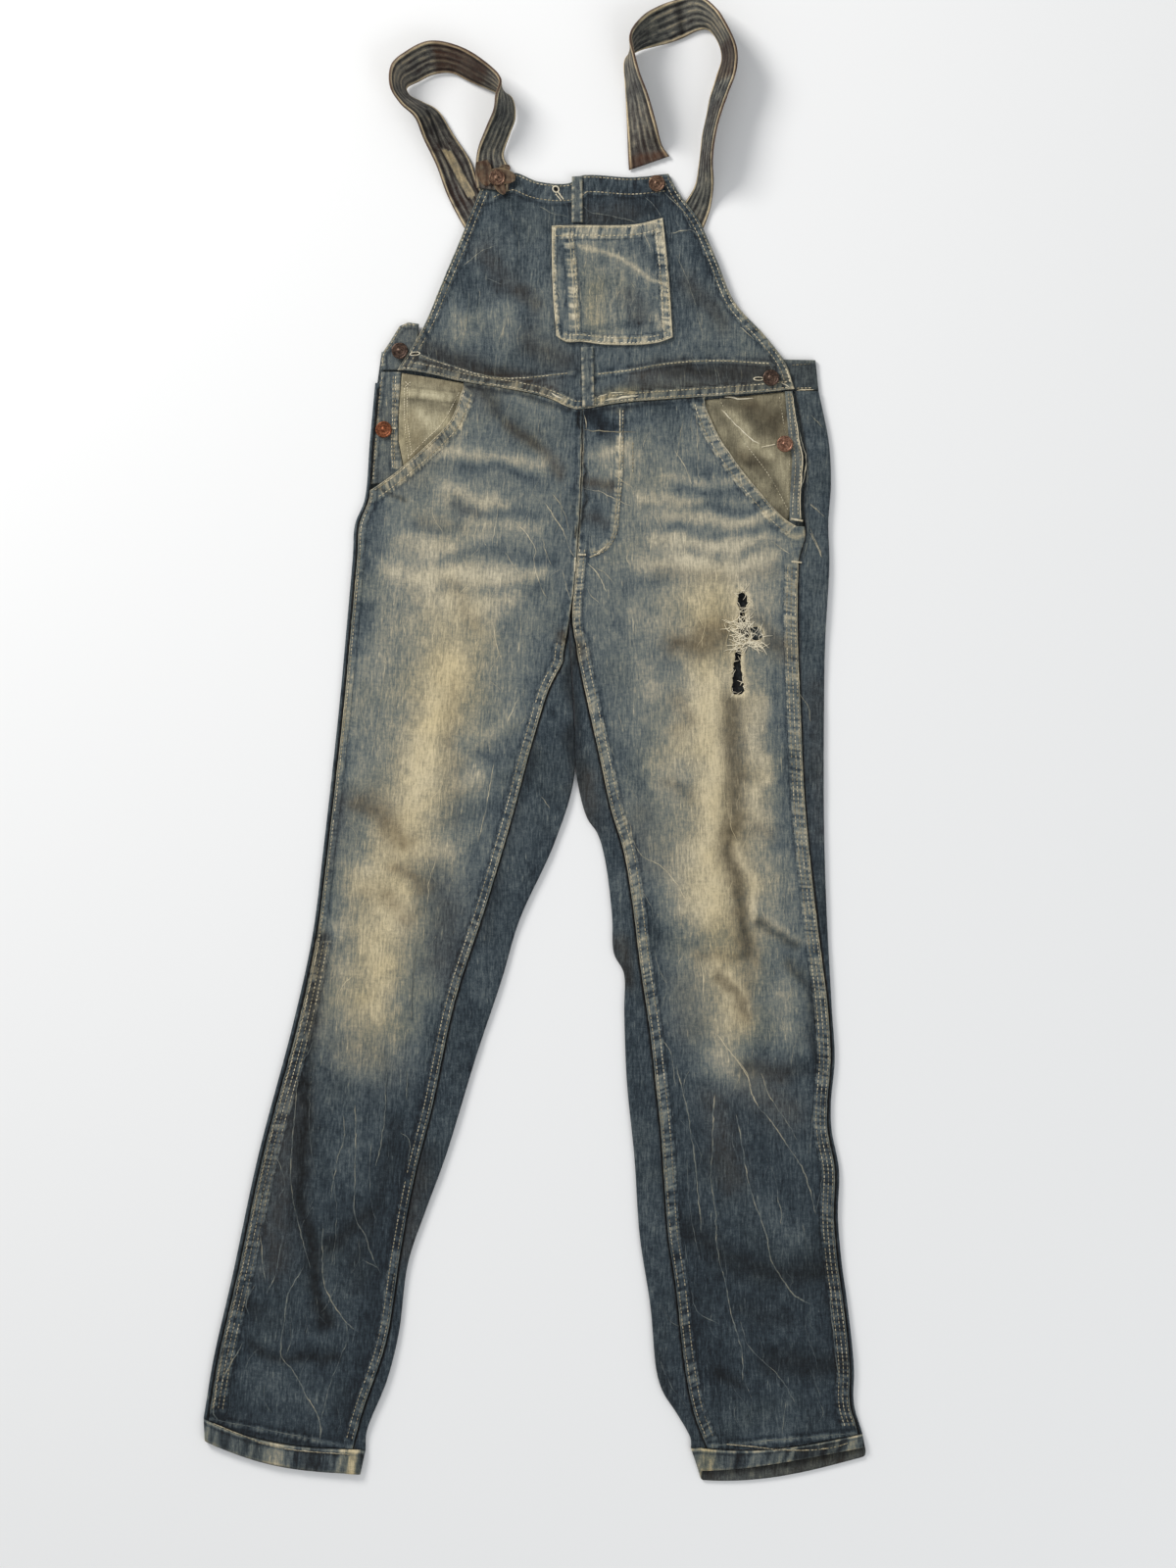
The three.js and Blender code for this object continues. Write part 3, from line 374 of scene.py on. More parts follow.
    ("fade", 0.06, 60, [(133, 198), (179, 170)]), ("fade", 0.17, 6, [(124, 246), (154, 242), (178, 247)]),
    ("fade", 0.19, 6, [(101, 225), (133, 225), (159, 224)]),
    ("fade", 0.19, 6, [(120, 210), (170, 207), (218, 207)]),
    ("fade", 0.17, 7, [(117, 187), (166, 182), (225, 191)]), ("fade", 0.16, 7, [(95, 168), (156, 167)]),
    ("fade", 0.16, 7, [(187, 166), (225, 174)]), ("fade", -0.16, 6, [(150, 254), (175, 251)]),
    ("fade", -0.16, 6, [(138, 236), (170, 233), (200, 236)]),
    ("fade", -0.18, 6, [(155, 218), (198, 216), (239, 224)]),
    ("fade", -0.18, 6, [(133, 198), (185, 194), (227, 198)]),
    ("fade", -0.14, 6, [(148, 177), (185, 174), (227, 185)]),
    ("dirt", 0.25, 8, [(115, 157), (170, 155), (225, 159)]), ("fade", -0.09, 8, [(110, 152), (170, 150)]),
    ("fade", -0.14, 14, [(101, 308), (133, 304), (148, 317)]), ("fade", 0.08, 20, [(87, 262), (101, 235)]),
    ("fade", -0.12, 12, [(87, 106), (133, 60)]), ("fade", -0.12, 10, [(87, 143), (108, 146)]),
    # under the waist seam, and the fly
    ("dark", 0.55, 3.5, [(-66, 331), (-13, 323), (36, 307)]),
    ("dark", 0.5, 3.0, [(48, 307), (126, 315), (158, 317)]),
    # the first dark stroke here is a painted shadow line in the gap between the two fronts
    ("dark", 0.85, 1.6, [(45.2, 306), (44.6, 242), (42, 186)]), ("fade", -0.14, 7, [(62, 300), (64, 284)]),
    ("fade", -0.26, 9, [(51, 299), (75, 295)]), ("fade", 0.24, 8, [(52, 271), (73, 271), (87, 273)]),
    ("fade", 0.12, 10, [(51, 253), (73, 253)]), ("fade", -0.14, 8, [(54, 207), (71, 198)]),
    ("dirt", 0.75, 6, [(49, 240), (71, 236)]), ("dark", 0.25, 5, [(49, 238), (71, 236)]),
    ("dark", 0.3, 6, [(51, 305), (75, 282)]),
    ("dirt", 0.35, 6, [(49, 209), (69, 203)]), ("fade", -0.10, 9, [(51, 221), (71, 216)]),
    ("fade", 0.12, 4, [(47, 178), (56, 176)]), ("fade", 0.10, 6, [(86, 276), (93, 262)]),
    # painted shade in the hollow of the crotch
    ("dark", 0.85, 5, [(32, 95), (40, 87)]), ("dirt", 0.9, 8, [(30, 97), (41, 82)])]
BACK_WEAR_AND_SHADE = [
    # the dark strokes on this line paint shade in the valley between the legs
    ("dark", 0.6, 7, [(35, 60), (38, -5), (41, -41)]), ("dark", 0.4, 12, [(51, -69), (56, -87)]),
    ("dirt", 0.4, 10, [(47, -32), (54, -87)]), ("dark", 0.35, 8, [(0, -5), (-23, -87), (-49, -179)]),
    ("fade", 0.08, 14, [(-5, -69), (-23, -124)]), ("fade", 0.07, 12, [(-41, -161), (-54, -235)]),
    ("dark", 0.5, 6, [(84, -218), (87, -225)]), ("dirt", 0.35, 9, [(80, -189), (84, -225)]),
    ("fade", 0.08, 9, [(76, -133), (82, -179)]), ("dark", 0.35, 10, [(-97, -391), (-115, -446)]),
    ("dirt", 0.3, 16, [(-106, -409), (-122, -483)]), ("fade", 0.06, 9, [(101, -363), (108, -455)]),
    ("dark", 0.4, 8, [(113, -584), (128, -630)]), ("fade", 0.06, 12, [(264, 179), (268, 106)]),
    ("dirt", 0.2, 12, [(266, 51), (268, -87)]), ("dark", 0.3, 9, [(270, -115), (273, -179)]),
    # painted shadow seen through the rip, and painted shade at the crotch
    ("dark", 1.0, 22, [(194, 143), (196, 97), (190, 41)]), ("dark", 0.7, 5, [(36, 92), (40, 69)])]
BIB_WEAR_AND_SHADE = [
    ("tan", 0.5, 9, [(-100, 349), (-40, 338), (30, 318)]),
    ("dirt", 0.42, 9, [(-118, 352), (-60, 345), (10, 328)]),
    ("dirt", 0.35, 8, [(60, 321), (150, 328), (236, 338)]),
    ("tan", 0.5, 8, [(60, 319), (150, 326), (236, 334)]),
    # painted shade in a crease trough
    ("dark", 0.35, 5, [(-100, 361), (-55, 353), (0, 341)]),
    # painted shade in a crease trough
    ("dark", 0.45, 9, [(120, 346), (170, 346), (210, 345)]),
    ("fade", -0.10, 12, [(-41, 454), (-30, 432)]), ("dirt", 0.30, 13, [(-43, 460), (-28, 428)]),
    ("dirt", 0.42, 9, [(-16, 422), (0, 405)]), ("dark", 0.25, 8, [(-14, 420), (0, 405)]),
    ("dirt", 0.38, 14, [(0, 373), (23, 356)]), ("dark", 0.3, 13, [(-5, 371), (25, 352)]),
    ("fade", 0.13, 12, [(-71, 391), (-46, 400), (-30, 395)]), ("fade", 0.08, 22, [(-87, 377), (-41, 382)]),
    ("dirt", 0.30, 10, [(146, 428), (163, 408), (178, 386)]),
    ("dark", 0.2, 8, [(146, 428), (163, 408), (178, 386)]),
    # these four lines paint shade in the bib's two long crease troughs
    ("dark", 0.42, 8, [(133, 341), (170, 347), (212, 351)]),
    ("dirt", 0.5, 10, [(97, 338), (152, 343), (216, 349)]),
    ("dark", 0.42, 9, [(-104, 373), (-69, 356), (-23, 341)]),
    ("dirt", 0.35, 9, [(-97, 367), (-41, 343), (14, 330)]),
    # both strokes here paint shade in a crease trough
    ("dark", 0.4, 6, [(51, 490), (87, 489), (113, 503)]), ("dirt", 0.25, 10, [(49, 494), (87, 498)]),
    ("fade", 0.08, 16, [(161, 377), (198, 368)]), ("fade", 0.07, 16, [(-9, 497), (14, 500)]),
    ("fade", -0.07, 16, [(-69, 432), (-58, 408)]), ("fade", 0.06, 18, [(133, 363), (87, 358)]),
    ("fade", -0.08, 10, [(156, 451), (168, 437)]), ("fade", 0.34, 4.5, [(19, 321), (27, 318)]),
    ("fade", 0.30, 5, [(65, 319), (97, 325)]), ("tan", 0.6, 6, [(65, 319), (97, 325)]),
    ("fade", 0.10, 16, [(14, 419), (10, 382)])]
POCKET_WEAR = [
    ("fade", -0.20, 7, [(93, 465), (109, 454), (121, 444)]), ("fade", 0.14, 12, [(56, 409), (58, 391)]),
    ("tan", 0.5, 14, [(56, 419), (58, 386)]), ("fade", -0.10, 8, [(92, 419), (97, 386)]),
    ("fade", 0.26, 2.2, [(41, 466), (67, 457), (87, 448), (117, 431)]),
    ("fade", -0.16, 4, [(51, 387), (106, 387)]),
    ("fade", 0.14, 5, [(113, 391), (119, 384)]), ("fade", 0.16, 1.5, [(77, 454), (77, 377)]),
    ("fade", -0.16, 3, [(27, 465), (29, 377)]), ("dirt", 0.3, 9, [(87, 419), (101, 391)])]

# ------------------------------ shape helpers, all on arrays of points
def smooth(t):
    t = np.clip(t, 0, 1)
    return t * t * (3 - 2 * t)


def mix(a, b, t):
    return a + (b - a) * t


def noise(x, y, size, seed=0):
    """Value noise from -1 to 1 whose cells are size wide."""
    u, v = np.asarray(x, float) / size, np.asarray(y, float) / size
    i, j = np.floor(u), np.floor(v)
    fu, fv = smooth(u - i), smooth(v - j)

    def corner(a, b):
        h = np.sin(a * 127.1 + b * 311.7 + seed * 74.7) * 43758.5453
        return 2 * (h - np.floor(h)) - 1

    low = mix(corner(i, j), corner(i + 1, j), fu)
    high = mix(corner(i, j + 1), corner(i + 1, j + 1), fu)
    return mix(low, high, fv)


def cloudy(x, y, size, seed=0, octaves=3):
    return sum(noise(x, y, size / 2**k, seed + 7 * k) / 2**k for k in range(octaves)) / 1.6


def curve(points, step):
    """Points about step apart on a smooth line through the given ones."""
    p = np.array(points, float)
    if len(p) < 3:
        count = max(1, int(np.ceil(np.linalg.norm(p[1] - p[0]) / step)))
        return mix(p[0], p[1], np.linspace(0, 1, count + 1)[:, None])
    p = np.vstack([2 * p[0] - p[1], p, 2 * p[-1] - p[-2]])
    out = []
    for a, b, c, d in zip(p, p[1:], p[2:], p[3:]):
        count = max(1, int(np.ceil(np.linalg.norm(c - b) / step)))
        t0, t1 = 0, np.linalg.norm(b - a) ** 0.5
        t2 = t1 + np.linalg.norm(c - b) ** 0.5
        t3 = t2 + np.linalg.norm(d - c) ** 0.5
        t = mix(t1, t2, np.arange(count) / count)[:, None]
        ab = mix(a, b, (t - t0) / (t1 - t0))
        bc = mix(b, c, (t - t1) / (t2 - t1))
        cd = mix(c, d, (t - t2) / (t3 - t2))
        abc, bcd = mix(ab, bc, (t - t0) / (t2 - t0)), mix(bc, cd, (t - t1) / (t3 - t1))
        out.append(mix(abc, bcd, (t - t1) / (t2 - t1)))
    return np.vstack([*out, p[-2]])


def near(route, x, y):
    """Distance of points from a route, and how far along it the nearest place is."""
    route = np.asarray(route, float)
    best, along, run = np.full(np.shape(x), 1e9), np.zeros(np.shape(x)), 0.0
    for (x0, y0), (x1, y1) in zip(route, route[1:]):
        dx, dy = x1 - x0, y1 - y0
        length = max(math.hypot(dx, dy), 1e-9)
        t = np.clip(((x - x0) * dx + (y - y0) * dy) / length**2, 0, 1)
        d = np.hypot(x - x0 - t * dx, y - y0 - t * dy)
        closer = d < best
        best = np.where(closer, d, best)
        along = np.where(closer, run + t * length, along)
        run += length
    return best, along


def inside(polygon, x, y):
    """Which points lie inside a polygon."""
    order = np.argsort(y)
    xs, ys = np.asarray(x)[order], np.asarray(y)[order]
    found = np.zeros(len(xs), bool)
    p = np.asarray(polygon, float)
    for (x0, y0), (x1, y1) in zip(p, np.roll(p, -1, 0)):
        if y0 != y1:
            a, b = np.searchsorted(ys, [min(y0, y1), max(y0, y1)])
            found[a:b] ^= xs[a:b] < (x1 - x0) * (ys[a:b] - y0) / (y1 - y0) + x0
    result = np.zeros(len(xs), bool)
    result[order] = found
    return result


def stretch(line, top, bottom):
    """The part of a top-to-bottom line between two heights."""
    line = np.asarray(line, float)

    def at(y):
        return np.interp(-y, -line[:, 1], line[:, 0]), y

    kept = [tuple(p) for p in line if bottom < p[1] < top]
    return [at(top), *kept, at(bottom)]


def outline_of(*runs, step):
    """A closed outline from runs that meet at corners and are smooth in between."""
    parts = [curve(run, step) for run in runs]
    points = np.vstack(parts)
    kept = [points[0]]
    for p in points[1:]:
        if np.linalg.norm(p - kept[-1]) > 0.35 * step:
            kept.append(p)
    if np.linalg.norm(kept[0] - kept[-1]) < 0.35 * step:
        kept.pop()
    return np.array(kept)


# ------------------------------ levels of the layers
def folds(x, y, routes, warp=4.0):
    """The summed height of folds whose routes are warped a little."""
    wx, wy = x + warp * noise(x, y, 31, 3), y + warp * noise(x, y, 31, 4)
    total = np.zeros(np.shape(x))
    for route, height, width in routes:
        d, _ = near(route, wx, wy)
        total += height * np.exp(-((d / width) ** 2))
    return total


def front_under(x, y):
    """Height of the underside of a leg's front."""
    gap = mix(LEG_GAP, HIP_GAP, smooth((y - HIP_FROM) / (HIP_TO - HIP_FROM)))
    return CLOTH + gap + np.clip(folds(x, y, BIG_FOLDS, 0), -FOLD_LIMIT / 2, FOLD_LIMIT)


def bib_under(y):
    """Height of the bib's back: it rises from the hips to the chest and falls to its top edge."""
    chest = mix(BIB_CHEST, BIB_TIP, smooth((y - BIB_FALL_FROM) / (BIB_FALL_TO - BIB_FALL_FROM)))
    return mix(CLOTH + HIP_GAP, chest, smooth((y - BIB_RISE_FROM) / (BIB_RISE_TO - BIB_RISE_FROM)))


def rumple(x, y, seed=0):
    """The small unevenness of worn cloth."""
    return 0.6 * cloudy(x, y, 38, seed) + 0.22 * noise(x, y * 0.6, 11, seed + 5)


def leg_creases(x, y):
    return np.maximum(CREASE_GAIN * folds(x, y, CREASES), LEG_TROUGH) + rumple(x, y, 1)


def leg_level(x, y):
    return front_under(x, y) + CLOTH + leg_creases(x, y)


def bib_level(x, y):
    creases = np.maximum(CREASE_GAIN * folds(x, y, BIB_CREASES), BIB_TROUGH)
    return bib_under(y) + CLOTH + creases + 0.8 * rumple(x, y, 2) + 0.3


def pocket_level(x, y):
    creases = folds(x, y, POCKET_CREASES, 1.0)
    return bib_under(y) + 2 * CLOTH + SEAM + creases + 0.5 * rumple(x, y, 2) + 0.7


# ------------------------------ seams: ridges, stitch rows and roping
class Seam:
    """A band of folded cloth beside a route, with rows of stitches at some distances from it."""

    def __init__(self, route, width, rows=(), raised=0.5, rope=0.26, tan=0.1, edge=0.14, pucker=0.22, seed=0,
                 pale=0.04):
        self.route, self.width, self.rows, self.raised = curve(route, 6), width, rows, raised
        self.rope, self.tan, self.edge = rope, tan, edge
        self.pucker, self.seed, self.pale = pucker, seed, pale

    def at(self, x, y):
        """Height, fade and tan that the band adds."""
        d, s = near(self.route, x, y)
        band = smooth((self.width + 1.2 - d) / 1.4)
        # the folded cloth is pulled into short slanting puckers across the seam
        lean = s + 0.25 * d
        rope = 0.95 * noise(lean, d * 0.12, 1.9, self.seed)
        rope = rope + 0.12 * noise(lean, d * 0.5, 9, self.seed + 3)
        height = band * (self.raised + self.pucker * rope)
        for row in self.rows:
            height -= 0.3 * np.exp(-(((d - row) / 0.9) ** 2))
        # just beyond the band the fade drops: a painted shadow line where the folded band ends
        outside = np.exp(-(((d - self.width - 1.6) / 1.1) ** 2))
        worn_edge = self.edge * np.exp(-(((d - 0.6) / 1.0) ** 2))
        fade = band * (self.rope * rope + self.pale) + worn_edge - 0.14 * outside
        return height, fade, band * self.tan * (0.6 + 0.4 * noise(s, d, 14, self.seed + 9))


def seams_at(seams, x, y):
    """Height, fade and tan that several seams add together."""
    height, fade, tan = np.zeros(np.shape(x)), np.zeros(np.shape(x)), np.zeros(np.shape(x))
    for seam in seams:
        h, f, t = seam.at(x, y)
        height = np.maximum(height, h) if seam.raised > 0 else height + h
        fade, tan = fade + f, np.maximum(tan, t)
    return height, fade, tan


def offset(route, d):
    """The route moved sideways, to its left for a positive distance."""
    p = curve(route, 3)
    along = np.gradient(p, axis=0)
    normal = np.stack([-along[:, 1], along[:, 0]], 1)
    return p + d * normal / np.linalg.norm(normal, axis=1)[:, None]


# ------------------------------ wear and painted shade, painted on the flat garment
def painted(strokes, x, y, base):
    """Fade, tan, dirt and dark at points, from a base fade and soft strokes."""
    wx = x + 5 * noise(x, y, 27, 11) + 2 * noise(x, y, 9, 12)
    wy = y + 5 * noise(x, y, 27, 13) + 2 * noise(x, y, 9, 14)
    fade = base + 0.035 * cloudy(x, y * 0.5, 60, 15) + 0.035 * noise(x, y * 0.35, 9, 16)
    left = {"tan": np.ones(np.shape(x)), "dirt": np.ones(np.shape(x)), "dark": np.ones(np.shape(x))}
    for kind, strength, width, route in strokes:
        d, _ = near(route, wx, wy)
        weight = np.exp(-((d / width) ** 2))
        if kind == "fade":
            fade = fade + strength * weight
        else:
            left[kind] = left[kind] * (1 - strength * weight)
    return fade, 1 - left["tan"], 1 - left["dirt"], 1 - left["dark"]


def by_height(y, levels):
    """A value that changes smoothly between (height, value) pairs, from the hems up."""
    levels = sorted(levels)
    return np.interp(y, [a for a, _ in levels], [b for _, b in levels])


def front_wear_and_shade(x, y):
    base = by_height(y, [(-700, 0.17), (-500, 0.18), (-360, 0.20), (-310, 0.26), (-240, 0.40),
                         (-120, 0.46), (80, 0.46), (180, 0.50), (260, 0.49), (330, 0.40)])
    side = np.minimum(near(RIGHT_SIDE_CURVE, x, y)[0], near(LEFT_SIDE_CURVE, x, y)[0])
    centre = np.minimum(near(RIGHT_FRONT_CURVE, x, y)[0], near(LEFT_FRONT_CURVE, x, y)[0])
    base = base - 0.05 * np.exp(-((side / 22) ** 2)) - 0.13 * np.exp(-((centre / 26) ** 2))
    return painted(FRONT_WEAR_AND_SHADE, x, y, base)


def back_wear_and_shade(x, y):
    base = by_height(y, [(-700, 0.17), (-360, 0.20), (-100, 0.22), (80, 0.26), (330, 0.27)])
    fade, tan, dirt, dark = painted(BACK_WEAR_AND_SHADE, x, y, base)
    shadow = 0.0
    for route in (RIGHT_FRONT_CURVE, LEFT_FRONT_CURVE, RIGHT_SIDE_CURVE, LEFT_SIDE_CURVE):
        d, _ = near(route, x, y)
        shadow = np.maximum(shadow, 0.95 * smooth((3.0 - d) / 1.8) * (y < 330))
    return fade, tan, dirt, np.maximum(dark, shadow)


def bib_wear_and_shade(x, y):
    base = 0.325 - 0.15 * smooth((y - 455) / 50) + 0.05 * noise(x * 1.6, y * 0.22, 12, 31)
    return painted(BIB_WEAR_AND_SHADE, x, y, base)


def pocket_wear(x, y):
    return painted(POCKET_WEAR, x, y, 0.51 + 0.08 * noise(x * 1.5, y * 0.12, 7, 33))


def plain_wear(base, tan=0.0, dirt=0.0, seed=40):
    """Even wear for a small piece."""

    def wear(x, y):
        fade, t, d, k = painted([], x, y, base + 0.05 * noise(x, y, 7, seed))
        return fade, t + tan, d + dirt * (0.6 + 0.4 * noise(x, y, 16, seed + 1)), k

    return wear


RIGHT_SIDE_CURVE = curve(RIGHT_LEG["side"], 12)
LEFT_SIDE_CURVE = curve(LEFT_LEG["side"], 12)
RIGHT_FRONT_CURVE = curve(RIGHT_LEG["front"], 12)
LEFT_FRONT_CURVE = curve(LEFT_LEG["front"], 12)


# ------------------------------ meshes
def mesh_object(name, points, faces, wear, cut, material):
    """An object in the row frame from points in millimetres, with its wear, painted shade and flat
    coordinates.
    """
    mesh = bpy.data.meshes.new(name)
    mesh.from_pydata((np.asarray(points) * MM).tolist(), [], faces)
    channels = np.clip(np.stack([np.broadcast_to(c, len(points)) for c in wear], 1), 0, 1)
    wear_layer = mesh.attributes.new("wear", "FLOAT_COLOR", "POINT")
    wear_layer.data.foreach_set("color", channels.astype(np.float32).ravel())
    flat = np.zeros((len(points), 3), np.float32)
    flat[:, :2] = np.asarray(cut) * MM
    cut_layer = mesh.attributes.new("cut", "FLOAT_VECTOR", "POINT")
    cut_layer.data.foreach_set("vector", flat.ravel())
    mesh.polygons.foreach_set("use_smooth", np.ones(len(mesh.polygons), bool))
    mesh.materials.append(material)
    mesh.update()
    made = bpy.data.objects.new(name, mesh)
    bpy.context.scene.collection.objects.link(made)
    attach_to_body(made, "root")
    return made


def joined(parts):
    """Several (points, faces, wear, cut) as one."""
    points, faces, wear, cut, start = [], [], [], [], 0
    for p, f, w, c in parts:
        points.append(np.asarray(p, float))
        faces += [tuple(i + start for i in face) for face in f]
        wear.append(np.stack([np.broadcast_to(v, len(p)) for v in w]))
        cut.append(np.asarray(c, float))
        start += len(p)
    return np.vstack(points), faces, np.hstack(wear), np.vstack(cut)


def ragged(polygon, size, seed):
    """A torn edge: an outline whose points are pushed in and out."""
    p = outline_of([*polygon, polygon[0]], step=1.3) if len(polygon) > 2 else np.array(polygon)
    x, y = 3 * p.T
    return p + size * np.stack([noise(x, y, 4, seed), 0.6 * noise(x, y, 4, seed + 1)], 1)


def net(outline, holes=(), bands=(), step=STEP, fine=FINE):
    """Triangles over an outline less its holes, closer together in bands given as (route, width)."""
    loops = [outline, *holes]
    x0, y0 = outline.min(0)
    x1, y1 = outline.max(0)

    def lattice(gap):
        rows = np.arange(y0, y1, gap * 0.866)
        columns = np.arange(x0, x1, gap)
        gx, gy = np.meshgrid(columns, rows)
        return (gx + 0.5 * gap * (np.arange(len(rows)) % 2)[:, None]).ravel(), gy.ravel()

    def in_band(x, y, extra):
        found = np.zeros(len(x), bool)
        for route, width in bands:
            found |= near(route[::4], x, y)[0] < width + extra
        return found

    def cloth_at(x, y):
        keep = inside(outline, x, y)
        for hole in holes:
            keep &= ~inside(hole, x, y)
        return x[keep], y[keep]

    cx, cy = cloth_at(*lattice(step))
    if bands:
        keep = ~in_band(cx, cy, 0)
        cx, cy = cx[keep], cy[keep]
        fx, fy = cloth_at(*lattice(fine))
        keep = in_band(fx, fy, 0)
        cx, cy = np.append(cx, fx[keep]), np.append(cy, fy[keep])
    edge = np.vstack([curve(np.vstack([loop, loop[:1]]), 1.0) for loop in loops])
    tree = KDTree(len(edge))
    for i, (x, y) in enumerate(edge):
        tree.insert((x, y, 0), i)
    tree.balance()
    margin = np.array([tree.find((x, y, 0))[2] for x, y in zip(cx, cy)])
    keep = margin > 0.75
    points = np.vstack([*loops, np.stack([cx[keep], cy[keep]], 1)])
    edges, start = [], 0
    for loop in loops:
        count = len(loop)
        edges += [(start + i, start + (i + 1) % count) for i in range(count)]
        start += count
    found, _, faces, _, _, _ = delaunay_2d_cdt([Vector(p) for p in points], edges, [], 0, 1e-4)
    points, faces = np.array([tuple(p) for p in found]), np.array([tuple(f) for f in faces])
    middle = points[faces].mean(1)
    keep = inside(outline, middle[:, 0], middle[:, 1])
    for hole in holes:
        keep &= ~inside(hole, middle[:, 0], middle[:, 1])
    faces = faces[keep]
    used = np.unique(faces)
    back = np.full(len(points), -1)
    back[used] = np.arange(len(used))
    points, faces = points[used], back[faces]
    margin = np.array([tree.find((x, y, 0))[2] for x, y in points])
    return points, faces, margin


def shell(points, faces, top, bottom, wear, wear_under=None, turn=0.0):
    """A closed sheet between two skins over the same net."""
    count = len(points)
    skins = np.vstack([np.column_stack([points, top]), np.column_stack([points, bottom])])
    directed = {(a, b) for f in faces.tolist() for a, b in ((f[0], f[1]), (f[1], f[2]), (f[2], f[0]))}
    rim = [(a, b) for a, b in directed if (b, a) not in directed]
    all_faces = [tuple(f) for f in faces.tolist()]
    all_faces += [(c + count, b + count, a + count) for a, b, c in faces.tolist()]
    all_faces += [(b, a, a + count, b + count) for a, b in sorted(rim)]
    wear_under = wear if wear_under is None else wear_under
    both = np.hstack([np.stack([np.broadcast_to(v, count) for v in w]) for w in (wear, wear_under)])
    c, s = math.cos(turn), math.sin(turn)
    cut = np.stack([points[:, 0] * c - points[:, 1] * s, points[:, 0] * s + points[:, 1] * c], 1)
    return skins, all_faces, both, np.vstack([cut, cut + UNDERSIDE_SHIFT])


def panel(outline, level, wear, seams=(), holes=(), thickness=1.3, step=STEP, fine=FINE, turn=0.0, roll=0.6):
    """A sheet of cloth whose face lies at level(x, y), its seams worked in and its edges rolled down."""
    bands = [(seam.route, seam.width + 1.5) for seam in seams]
    points, faces, margin = net(outline, holes, bands, step, fine)
    x, y = points[:, 0], points[:, 1]
    base = level(x, y)
    height, fade, tan = seams_at(seams, x, y)
    rolled = roll * (1 - np.clip(margin / 1.4, 0, 1)) ** 2
    w = list(wear(x, y))
    w[0] = w[0] + fade + 0.05 * (margin < 0.7)
    w[1] = np.maximum(w[1], tan)
    bottom = base - thickness + 0.3 * rolled
    under = (w[0] + 0.12, w[1], w[2], w[3])
    return shell(points, faces, base + height - rolled, bottom, w, under, turn)


def grid_shell(outer, inner, wear_out, wear_in, cut, ring=False):
    """A closed wall between two skins of the same rows and columns."""
    rows, columns = outer.shape[:2]
    count = rows * columns
    r, c = np.meshgrid(np.arange(rows - 1), np.arange(columns if ring else columns - 1), indexing="ij")
    a, b = r * columns + c, r * columns + (c + 1) % columns
    quads = np.stack([a, b, b + columns, a + columns], -1).reshape(-1, 4)
    faces = np.vstack([quads, quads[:, ::-1] + count])
    ends = []

    def wall(p, q, flipped):
        return np.stack([q, p, p + count, q + count] if flipped else [p, q, q + count, p + count], 1)

    for row in (0, rows - 1):
        i = np.arange(columns if ring else columns - 1)
        p, q = row * columns + i, row * columns + (i + 1) % columns
        ends.append(wall(p, q, row == 0))
    if not ring:
        i = np.arange(rows - 1)
        for column in (0, columns - 1):
            p, q = i * columns + column, (i + 1) * columns + column
            ends.append(wall(p, q, column > 0))
    faces = np.vstack([faces, *ends])
    points = np.vstack([outer.reshape(-1, 3), inner.reshape(-1, 3)])
    a, b, c = (points[faces[:, k]] for k in range(3))
    if (a * np.cross(b, c)).sum() + (a * np.cross(c, points[faces[:, 3]])).sum() < 0:
        faces = faces[:, ::-1]
    size = (rows, columns)
    wear = np.hstack([np.stack([np.broadcast_to(v, size).ravel() for v in w]) for w in (wear_out, wear_in)])
    flat = np.asarray(cut, float).reshape(-1, 2)
    return points, faces.tolist(), wear, np.vstack([flat, flat + INSIDE_SHIFT])


# ------------------------------ backs of the legs, which wrap round both edges
def leg_rows(leg, gap):
    """The two ends of each row across a leg, from the waist to the foot."""
    outer, inner = curve(leg["outer"], 4), curve(leg["inner"], 4)

    def at(line, y):
        return np.array([np.interp(-y, -line[:, 1], line[:, 0]), y])

    top, foot = leg["inner"][0][1], leg["inner"][-1][1]
    rise = np.arange(top, CROTCH_TOP, -gap)
    below = np.linspace(CROTCH_FOOT, foot, int((CROTCH_FOOT - foot) / gap))
    rows = []
    for yi in [*rise, CROTCH_TOP, *below]:
        yo = mix(leg["outer"][0][1], leg["outer"][-1][1], (top - yi) / (top - foot))
        rows.append((at(outer, yo), at(inner, yi)))
    return rows


def crossing(line, outer, inner):
    """Where a row across the leg crosses a line of the cut."""
    slope = (inner[1] - outer[1]) / (inner[0] - outer[0])
    y = (outer[1] + inner[1]) / 2
    for _ in range(6):
        x = np.interp(-y, -line[:, 1], line[:, 0])
        y = outer[1] + slope * (x - outer[0])
    return np.array([x, y])


LAP_STEPS, FOLD_STEPS, FLOOR_STEPS = (7, 24), 9, 26


